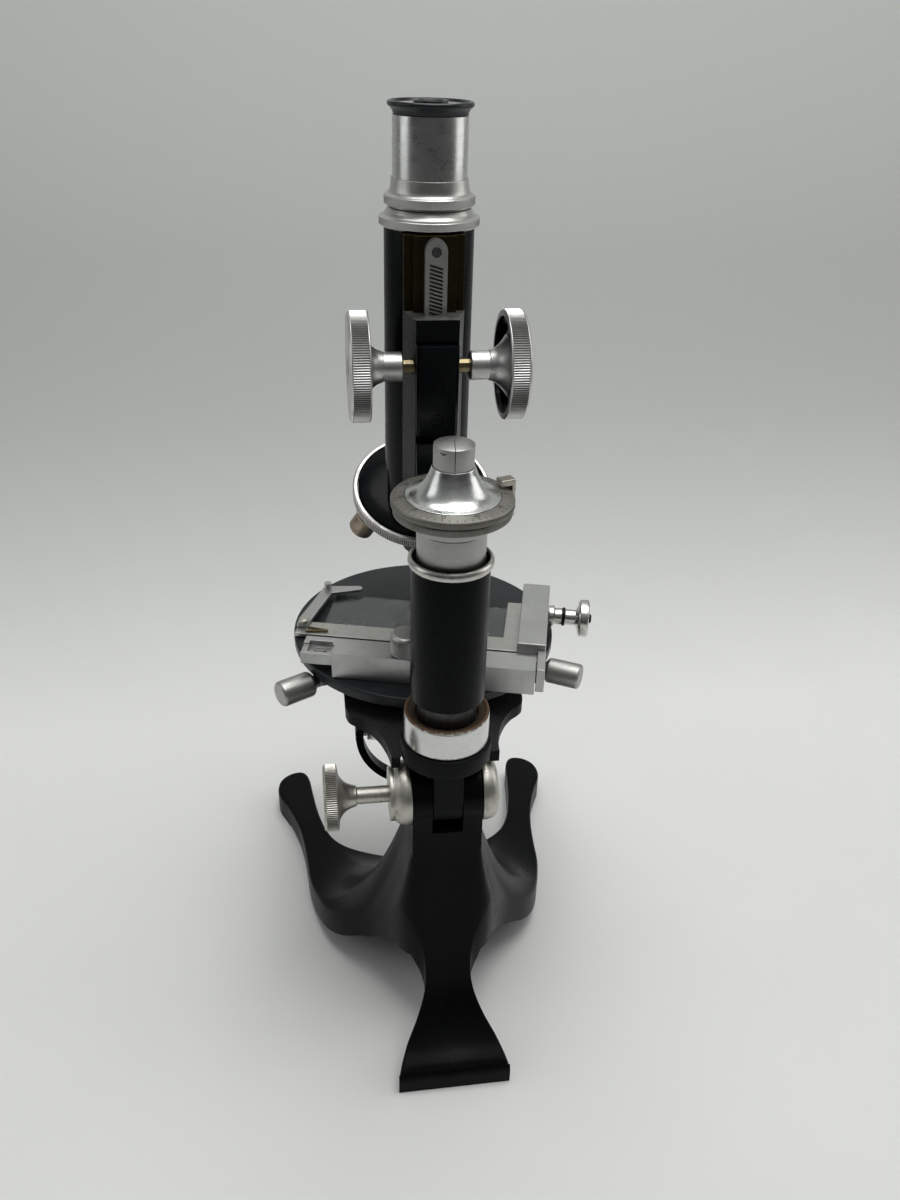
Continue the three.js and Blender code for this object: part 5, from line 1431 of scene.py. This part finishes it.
    def build(self) -> None:
        """Builds the fine focus head."""
        self.drum_piece()
        self.divisions_piece()
        self.numbers()
        self.bell_piece()
        self.cap_piece()
        self.cap_marks()
        Shop.dress("micrometer_screw", STEEL, 0.2)


@dataclass
class CoarseFocus:
    """Arm and head that guide the tube, bearing cap, pinion shaft and the two coarse knobs."""

    knob_r: float = 18.8
    out: float = 30.5
    shaft: Pair = (47.5, 259.7)
    knurls: int = 140

    def knob_profile(self, side: int) -> list[Pair]:
        """Section of one knob, on the right for side 1 and on the left for side -1."""
        r, out = self.knob_r, self.out
        half = [
            (2.75, 11.7), (4.6, 11.7), (5.0, 12.1), (5.0, 18.3), (5.1, 18.6), (5.35, 18.7),
            *through([(5.35, 18.9), (6.0, 20.6), (7.3, 22.3), (9.2, 23.9), (11.6, 25.4), (13.8, 26.2)], 4),
            (15.4, 26.0), (16.3, 24.9), (16.6, 23.5), (17.0, 23.3), (r - 0.35, 23.3), (r - 0.05, 23.55),
            (r, 23.7), (r, 23.9), (r, out - 1.1), (r, out - 0.9), (r - 0.1, out - 0.7), (r - 0.8, out - 0.08),
            (r - 1.2, out), (7.0, out), (6.4, out - 0.3), (6.2, out - 1.2), (2.75, out - 1.2),
        ]
        return [(a, side * b) for a, b in half]

    def knobs(self) -> None:
        """Two knurled knobs, with painted shade inside their rims and in their end recesses."""
        y, z = self.shaft
        place = Matrix.Translation((0, y, z)) @ Axis.X.value
        for name, side in (("left", -1), ("right", 1)):
            ends = sorted((side * 23.9, side * (self.out - 1.1)))
            band = Knurl(ends[0], ends[1], self.knob_r - 0.01, self.knurls, 0.30)
            piece = Shop.turned(f"coarse_knob_{name}_look", self.knob_profile(side), place, 128, 0.1, [band])
            Shop.fit(piece, "pinion", HAND_SATIN, [f"coarse_knob_{name}"])

            def painted(p: Vector) -> bool:
                """Whether a face lies in the hollow behind the rim or in the end recess, where shade is
                painted.
                """
                reach = math.hypot(p.y - y, p.z - z)
                along = abs(p.x)
                return (10.6 < reach < 16.75 and 23.4 < along < 26.4) or (reach < 6.3 and along > 29)

            # Painted shade in the hollows, in black enamel.
            Shop.tint(piece, BLACK_AND_SHADE, painted)

    def build(self) -> None:
        """Builds the coarse focus."""
        self.knobs()
        Shop.dress("pinion_shaft", BRASS, 0.05)
        arm = Shop.dress("limb_arm", JAPAN_ARM, 0.3)
        top = max(v.co.z for v in arm.data.vertices) / MM
        Shop.tint(arm, ARM_STEEL, lambda p: p.z > top - 0.05)
        Shop.dress("bearing_cap", JAPAN, 0.18)
        Shop.dress("bearing_screw_upper", JAPAN, 0.08)
        Shop.dress("bearing_screw_lower", JAPAN, 0.08)


@dataclass
class BodyTube:
    """Black body tube with its slide, rack and the two bright collars."""

    tube_r: float = 15.8
    tube: Pair = (212.6, 301.6)
    draw_r: float = 12.8

    def build(self) -> None:
        """Builds the body tube."""
        low, top = self.tube
        r = self.tube_r
        bore = self.draw_r + 0.18
        place = DATUM.optic()
        Shop.fit(Shop.turned("body_tube_look", [(r - 1.2, low), (r, low), (r, top), (r - 1.2, top)], place,
                             160, 0.15), "tube", JAPAN, ["body_tube"])
        z = top + 0.12
        lower = [(bore, z), (r + 0.1, z), (r + 0.9, z + 0.3), (r + 1.55, z + 0.75), (r + 1.7, z + 0.85),
                 (r + 1.7, z + 0.95), (r + 1.7, z + 3.1), (r + 1.7, z + 3.2), (r + 1.5, z + 3.35),
                 *through([(r + 1.3, z + 3.45), (r + 0.3, z + 3.9), (r - 0.5, z + 4.7), (r - 1.0, z + 5.5),
                           (r - 1.5, z + 6.18)], 4), (bore, z + 6.18)]
        band = Knurl(z + 0.95, z + 3.1, r + 1.69, 150, 0.2)
        Shop.fit(Shop.turned("tube_collar_look", lower, place, 128, 0.08, [band]), "tube", COLLAR_CHROME,
                 ["tube_collar"])
        z = top + 6.42
        d = self.draw_r
        upper = [(bore, z), (d + 1.1, z), (d + 2.0, z + 0.5), (d + 2.75, z + 1.1), (d + 2.9, z + 1.2),
                 (d + 2.9, z + 1.3), (d + 2.9, z + 3.7), (d + 2.9, z + 3.8), (d + 2.7, z + 4.0),
                 *through([(d + 2.5, z + 4.1), (d + 1.6, z + 4.6), (d + 1.0, z + 5.6), (d + 0.7, z + 7.2),
                           (d + 0.5, z + 9.3)], 4), (bore, z + 9.4)]
        band = Knurl(z + 1.3, z + 3.7, d + 2.89, 140, 0.2)
        Shop.fit(Shop.turned("draw_collar_look", upper, place, 128, 0.08, [band]), "tube", COLLAR_CHROME,
                 ["draw_collar"])
        Shop.dress("dovetail_slide", BRONZE, 0.25)
        rack = Shop.dress("rack", STEEL, 0.06)
        outer = min(v.co.y for v in rack.data.vertices) / MM
        # Darker colour on the rack's tooth flanks and valleys.
        Shop.tint(rack, GROOVE_DARK, lambda p: p.y + DATUM.pillar.y > outer + 0.25 and abs(p.x) < 2.4)
        Shop.dress("rack_screw", DARK_STEEL, 0.08)


@dataclass
class Eyepiece:
    """Draw tube and the eyepiece that drops into it."""

    draw_r: float = 12.8
    draw: Pair = (242.02, 336.6)
    wall: float = 1.1

    def build(self) -> None:
        """Builds the draw tube and the eyepiece."""
        low, top = self.draw
        d = self.draw_r
        place = DATUM.optic()
        Shop.fit(Shop.turned("draw_tube_look", [
            (d - self.wall, low), (d, low), (d, top), (d - self.wall, top)], place, 160, 0.15), "draw",
            TUBE_CHROME, ["draw_tube"])
        e = d - self.wall - 0.18
        z, high = top + 0.12, top + 4.12
        cap = [(4.2, high - 3.4), (e - 1.3, high - 3.4), (e - 1.3, z), (d - 0.3, z), *through(
            [(d - 0.2, z + 0.3), (d + 0.2, z + 1.3), (d + 0.9, high - 1.9)], 4),
            (d + 1.4, high - 1.6), *through([(d + 1.6, high - 1.3), (d + 1.7, high - 0.85),
                                             (d + 1.55, high - 0.35), (d + 1.1, high)], 3),
            (d + 0.3, high - 0.02), (d - 0.1, high - 0.5), (d - 0.6, high - 0.95), (6.2, high - 0.9),
            (5.8, high - 0.6), (5.7, high + 0.1), (5.2, high + 0.2), (4.6, high + 0.05), (4.2, high - 0.4)]
        piece = Shop.fit(Shop.turned("eyepiece_cap_look", cap, place, 160, 0.12), "eyepiece", EYE_EBONITE,
                         ["eyepiece_cap"])
        Shop.tint(piece, COLLAR_CHROME, lambda p: p.z > high - 1.1
                  and 6.6 < (p - Vector((0, DATUM.optic_y, 0))).xy.length < d - 0.75)
        Shop.dress("eyepiece_tube", BRASS, 0.2)
        Shop.dress("eye_lens", LENS, 0.1)
        Shop.dress("field_lens", LENS, 0.1)


@dataclass
class Nosepiece:
    """Leaning plate under the tube, the turning shell and its four objectives."""

    rim_r: float = 28.2
    plate_r: float = 25.9
    ahead: float = 11.0
    height: float = 198.6
    tube_low: float = 212.6
    face: float = -12.2

    def axis(self) -> Matrix:
        """Place of the leaning axis."""
        lean = Matrix.Rotation(DATUM.nose_tilt, 4, "X")
        return Matrix.Translation((0, DATUM.optic_y + self.ahead, self.height)) @ lean

    def station(self, degrees: float) -> Matrix:
        """Place of one objective's own axis."""
        ring = self.ahead / math.cos(DATUM.nose_tilt)
        return (self.axis() @ Matrix.Rotation(math.radians(degrees), 4, "Z")
                @ Matrix.Translation((0, -ring, 0)) @ Matrix.Rotation(-DATUM.nose_tilt, 4, "X"))

    def plate(self) -> None:
        """Black domed plate with the neck that takes the tube."""
        r = self.plate_r
        dome = Shop.turned("nosepiece_plate_look", [
            (0, -3.4), (r - 0.8, -3.4), (r, -2.6), (r, -0.6), *through(
                [(r - 0.3, -0.1), (r - 1.4, 0.35), (r - 6, 1.7), (r - 13, 2.7), (0, 3.2)], 5)],
            self.axis(), 192, 0.3)
        neck = rod(15.0, self.height - 1, self.tube_low - 0.12, DATUM.optic(), 128)
        low = box((-60, 60), (-60, 60), (-60, -2.9), self.axis())
        Shop.merge(neck, [low], "DIFFERENCE")
        Shop.merge(dome, [neck])
        Shop.fit(dome, "tube", JAPAN_ARM, ["nosepiece_plate"])

    def shell(self) -> None:
        """Turning shell with a finely knurled rim and four threaded faces."""
        r = self.rim_r
        outer = [(0, -9.4), (11, -9.4), (r - 3, -6.4), (r - 0.4, -4.5), (r - 0.05, -4.25), (r, -4.15),
                 (r, -4.05), (r, -0.6), (r, -0.5), (r - 0.1, -0.3), (r - 0.6, 0.1), (self.plate_r + 0.4, 0.1),
                 (self.plate_r + 0.4, -3.75), (3, -3.75), (3, -2.9), (0, -2.9)]
        band = Knurl(-4.05, -0.6, r - 0.01, 200, 0.12)
        piece = Shop.turned("revolver_shell_look", outer, self.axis(), 192, 0.2, [band])
        faces = []
        for degrees in (0, -90, 90, 180):
            ring = Shop.turned("face", [(0, self.face), (8.0, self.face), (8.4, self.face + 0.4),
                                        (8.4, -5.4), (0, -5.4)], self.station(degrees), 96, 0.2)
            faces.append(ring)
        Shop.merge(piece, faces)
        trim = rod(self.plate_r + 0.4, -3.75, 12, self.axis(), 128)
        Shop.merge(piece, [trim], "DIFFERENCE")
        Shop.merge(piece, [rod(5.6, -30, 10, self.station(d), 64) for d in (0, -90, 90, 180)], "DIFFERENCE")
        Shop.fit(piece, "revolver", SHELL_SATIN, ["revolver_shell"])

    def objective(self, node: str, degrees: float, outside: Sequence[Pair], finish: Finish) -> None:
        """One objective, screwed up against its face.

        Args:
            node: CAD node that it stands for.
            degrees: Station on the shell.
            outside: Radius and depth pairs below the face.
            finish: Its finish.
        """
        f = self.face
        wall = [(r, f - 0.12 - depth) for r, depth in outside]
        deepest = wall[-1][1]
        profile = [(4.6, f + 3), (5.35, f + 3), (5.35, f - 0.12), *wall, (2.2, deepest), (1.7, deepest + 0.7),
                   (4.4, deepest + 4)]
        piece = Shop.turned(f"{node}_look", profile, self.station(degrees), 112, 0.2)
        Shop.fit(piece, "revolver", finish, [node])

    def build(self) -> None:
        """Builds the nosepiece."""
        self.plate()
        self.shell()
        self.objective("objective_active", 0, [(8.9, 0.01), (8.9, 3.4), (7.6, 3.8), (7.1, 5.2), (6.8, 6.2)],
                       LENS_BLACK)
        middle = [(7.8, 0.01), (7.8, 0.9), (7.5, 1.1), (7.8, 1.3), (7.8, 4.2), (6.3, 4.6), (6.3, 6.2),
                  (6.9, 6.6), (6.2, 7.8), (5.3, 9.2), (5.3, 16.4), (4.6, 17)]
        long = [(8, 0.01), (8, 4.4), (6.4, 5), (6.4, 9.4), (5.9, 9.9), (5.4, 10.2), (5.4, 17.5), (3.4, 20.4)]
        self.objective("objective_left", -90, middle, OLD_NICKEL)
        self.objective("objective_right", 90, long, OLD_NICKEL)
        self.objective("objective_front", 180, middle, NICKEL)


@dataclass
class Studio:
    """Pale sweep, soft lights and the camera. Its eye stands in bench millimetres."""

    eye: Sequence[float] = (-44.74, -293.28, 365.40)
    yaw: float = 8.68
    pitch: float = 30.11
    roll: float = 1.64
    lens: float = 30.32
    sensor: float = 36.0
    floor: Pair = (-1.2, 0.28)
    bend: float = 0.42
    wall_top: float = 2.4
    breadths: Sequence[float] = (-2.6, -1.2, 1.2, 2.6)
    aim_z: float = 0.16

    def sweep(self) -> None:
        """Floor that curves up into a wall behind, in metres."""
        bm = bmesh.new()
        near, far = self.floor
        bend = self.bend
        turns = [math.radians(a) for a in range(6, 91, 6)]
        curve = [(far + bend * math.sin(t), bend - bend * math.cos(t)) for t in turns]
        path = [(near, 0.0), (far, 0.0), *curve, (far + bend, self.wall_top)]
        rows = [[bm.verts.new((x, y, z)) for x in self.breadths] for y, z in path]
        for a, b in zip(rows, rows[1:]):
            for i in range(3):
                bm.faces.new((a[i], a[i + 1], b[i + 1], b[i]))
        mesh = bpy.data.meshes.new("sweep")
        bm.to_mesh(mesh)
        bm.free()
        mesh.shade_smooth()
        mesh.materials.append(Paper("paper", "none").material())
        obj = bpy.data.objects.new("sweep", mesh)
        bpy.context.scene.collection.objects.link(obj)

    def light(self, name: str, spot: Sequence[float], size: Pair, power: float, tint: Colour) -> None:
        """Soft rectangular light that faces the object.

        Args:
            name: Light name.
            spot: Place in metres.
            size: Width and height in metres.
            power: Watts.
            tint: Light colour.
        """
        data = bpy.data.lights.new(name, "AREA")
        data.shape = "RECTANGLE"
        data.size, data.size_y = size
        data.energy = power
        data.color = tint
        obj = bpy.data.objects.new(name, data)
        obj.location = spot
        aim = Vector((0, 0, self.aim_z)) - obj.location
        obj.rotation_euler = aim.to_track_quat("-Z", "Y").to_euler()
        bpy.context.scene.collection.objects.link(obj)

    @staticmethod
    def room() -> None:
        """Tent round the object: bright above and behind, dark on the open near side."""
        world = bpy.data.worlds.new("room")
        world.use_nodes = True
        tree = world.node_tree
        ground = tree.nodes["Background"]
        coords = tree.nodes.new("ShaderNodeTexCoord")
        parts = tree.nodes.new("ShaderNodeSeparateXYZ")
        tree.links.new(coords.outputs["Generated"], parts.inputs[0])
        shares = []
        for output, low, high, top in (("Y", -0.55, 0.45, 0.20), ("Z", 0.15, 0.95, 0.27)):
            reach = tree.nodes.new("ShaderNodeMapRange")
            reach.inputs["From Min"].default_value = low
            reach.inputs["From Max"].default_value = high
            reach.inputs["To Min"].default_value = 0.02
            reach.inputs["To Max"].default_value = top
            tree.links.new(parts.outputs[output], reach.inputs["Value"])
            shares.append(reach.outputs[0])
        total = tree.nodes.new("ShaderNodeMath")
        tree.links.new(shares[0], total.inputs[0])
        tree.links.new(shares[1], total.inputs[1])
        tree.links.new(total.outputs[0], ground.inputs["Strength"])
        ground.inputs["Color"].default_value = (0.97, 1.0, 0.985, 1.0)
        bpy.context.scene.world = world

    def camera(self) -> None:
        """Camera at the reference viewpoint."""
        yaw, pitch, roll = (math.radians(a) for a in (self.yaw, self.pitch, self.roll))
        ahead = Vector((math.sin(yaw) * math.cos(pitch), math.cos(yaw) * math.cos(pitch), -math.sin(pitch)))
        right = Vector((math.cos(yaw), -math.sin(yaw), 0))
        up = right.cross(ahead)
        side = right * math.cos(roll) + up * math.sin(roll)
        top = up * math.cos(roll) - right * math.sin(roll)
        turn = Matrix((side, top, -ahead)).transposed().to_4x4()
        data = bpy.data.cameras.new("camera")
        data.sensor_fit = "VERTICAL"
        data.sensor_height = self.sensor
        data.lens = self.lens
        data.clip_start = 0.01
        obj = bpy.data.objects.new("camera", data)
        obj.matrix_world = Matrix.Translation(DATUM.to_frame() @ Vector(self.eye)) @ turn
        bpy.context.scene.collection.objects.link(obj)
        bpy.context.scene.camera = obj

    def build(self) -> None:
        """Builds the studio."""
        self.sweep()
        self.light("top_light", (0.10, 0.05, 1.25), (1.0, 0.8), 10.6, (1.0, 1.0, 0.985))
        self.light("right_light", (1.05, 0.10, 0.60), (0.7, 0.8), 2.4, (1.0, 0.995, 0.98))
        self.light("left_light", (-1.10, 0.05, 0.60), (0.6, 0.8), 1.5, (0.98, 1.0, 1.0))
        self.room()
        self.camera()
        bpy.context.scene.view_settings.view_transform = "Standard"


def main() -> None:
    """Builds every sub-assembly round the frame, then the studio."""
    logging.basicConfig(level=logging.INFO, format="%(message)s")
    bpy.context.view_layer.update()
    for assembly in (
        Foot(), ClampScrew(), Limb(), Stage(), SlideMover(), MirrorGroup(), Pillar(), FineHead(),
        CoarseFocus(), BodyTube(), Eyepiece(), Nosepiece(), Studio(),
    ):
        LOG.info("building %s", type(assembly).__name__)
        assembly.build()


if __name__ == "__main__":
    main()
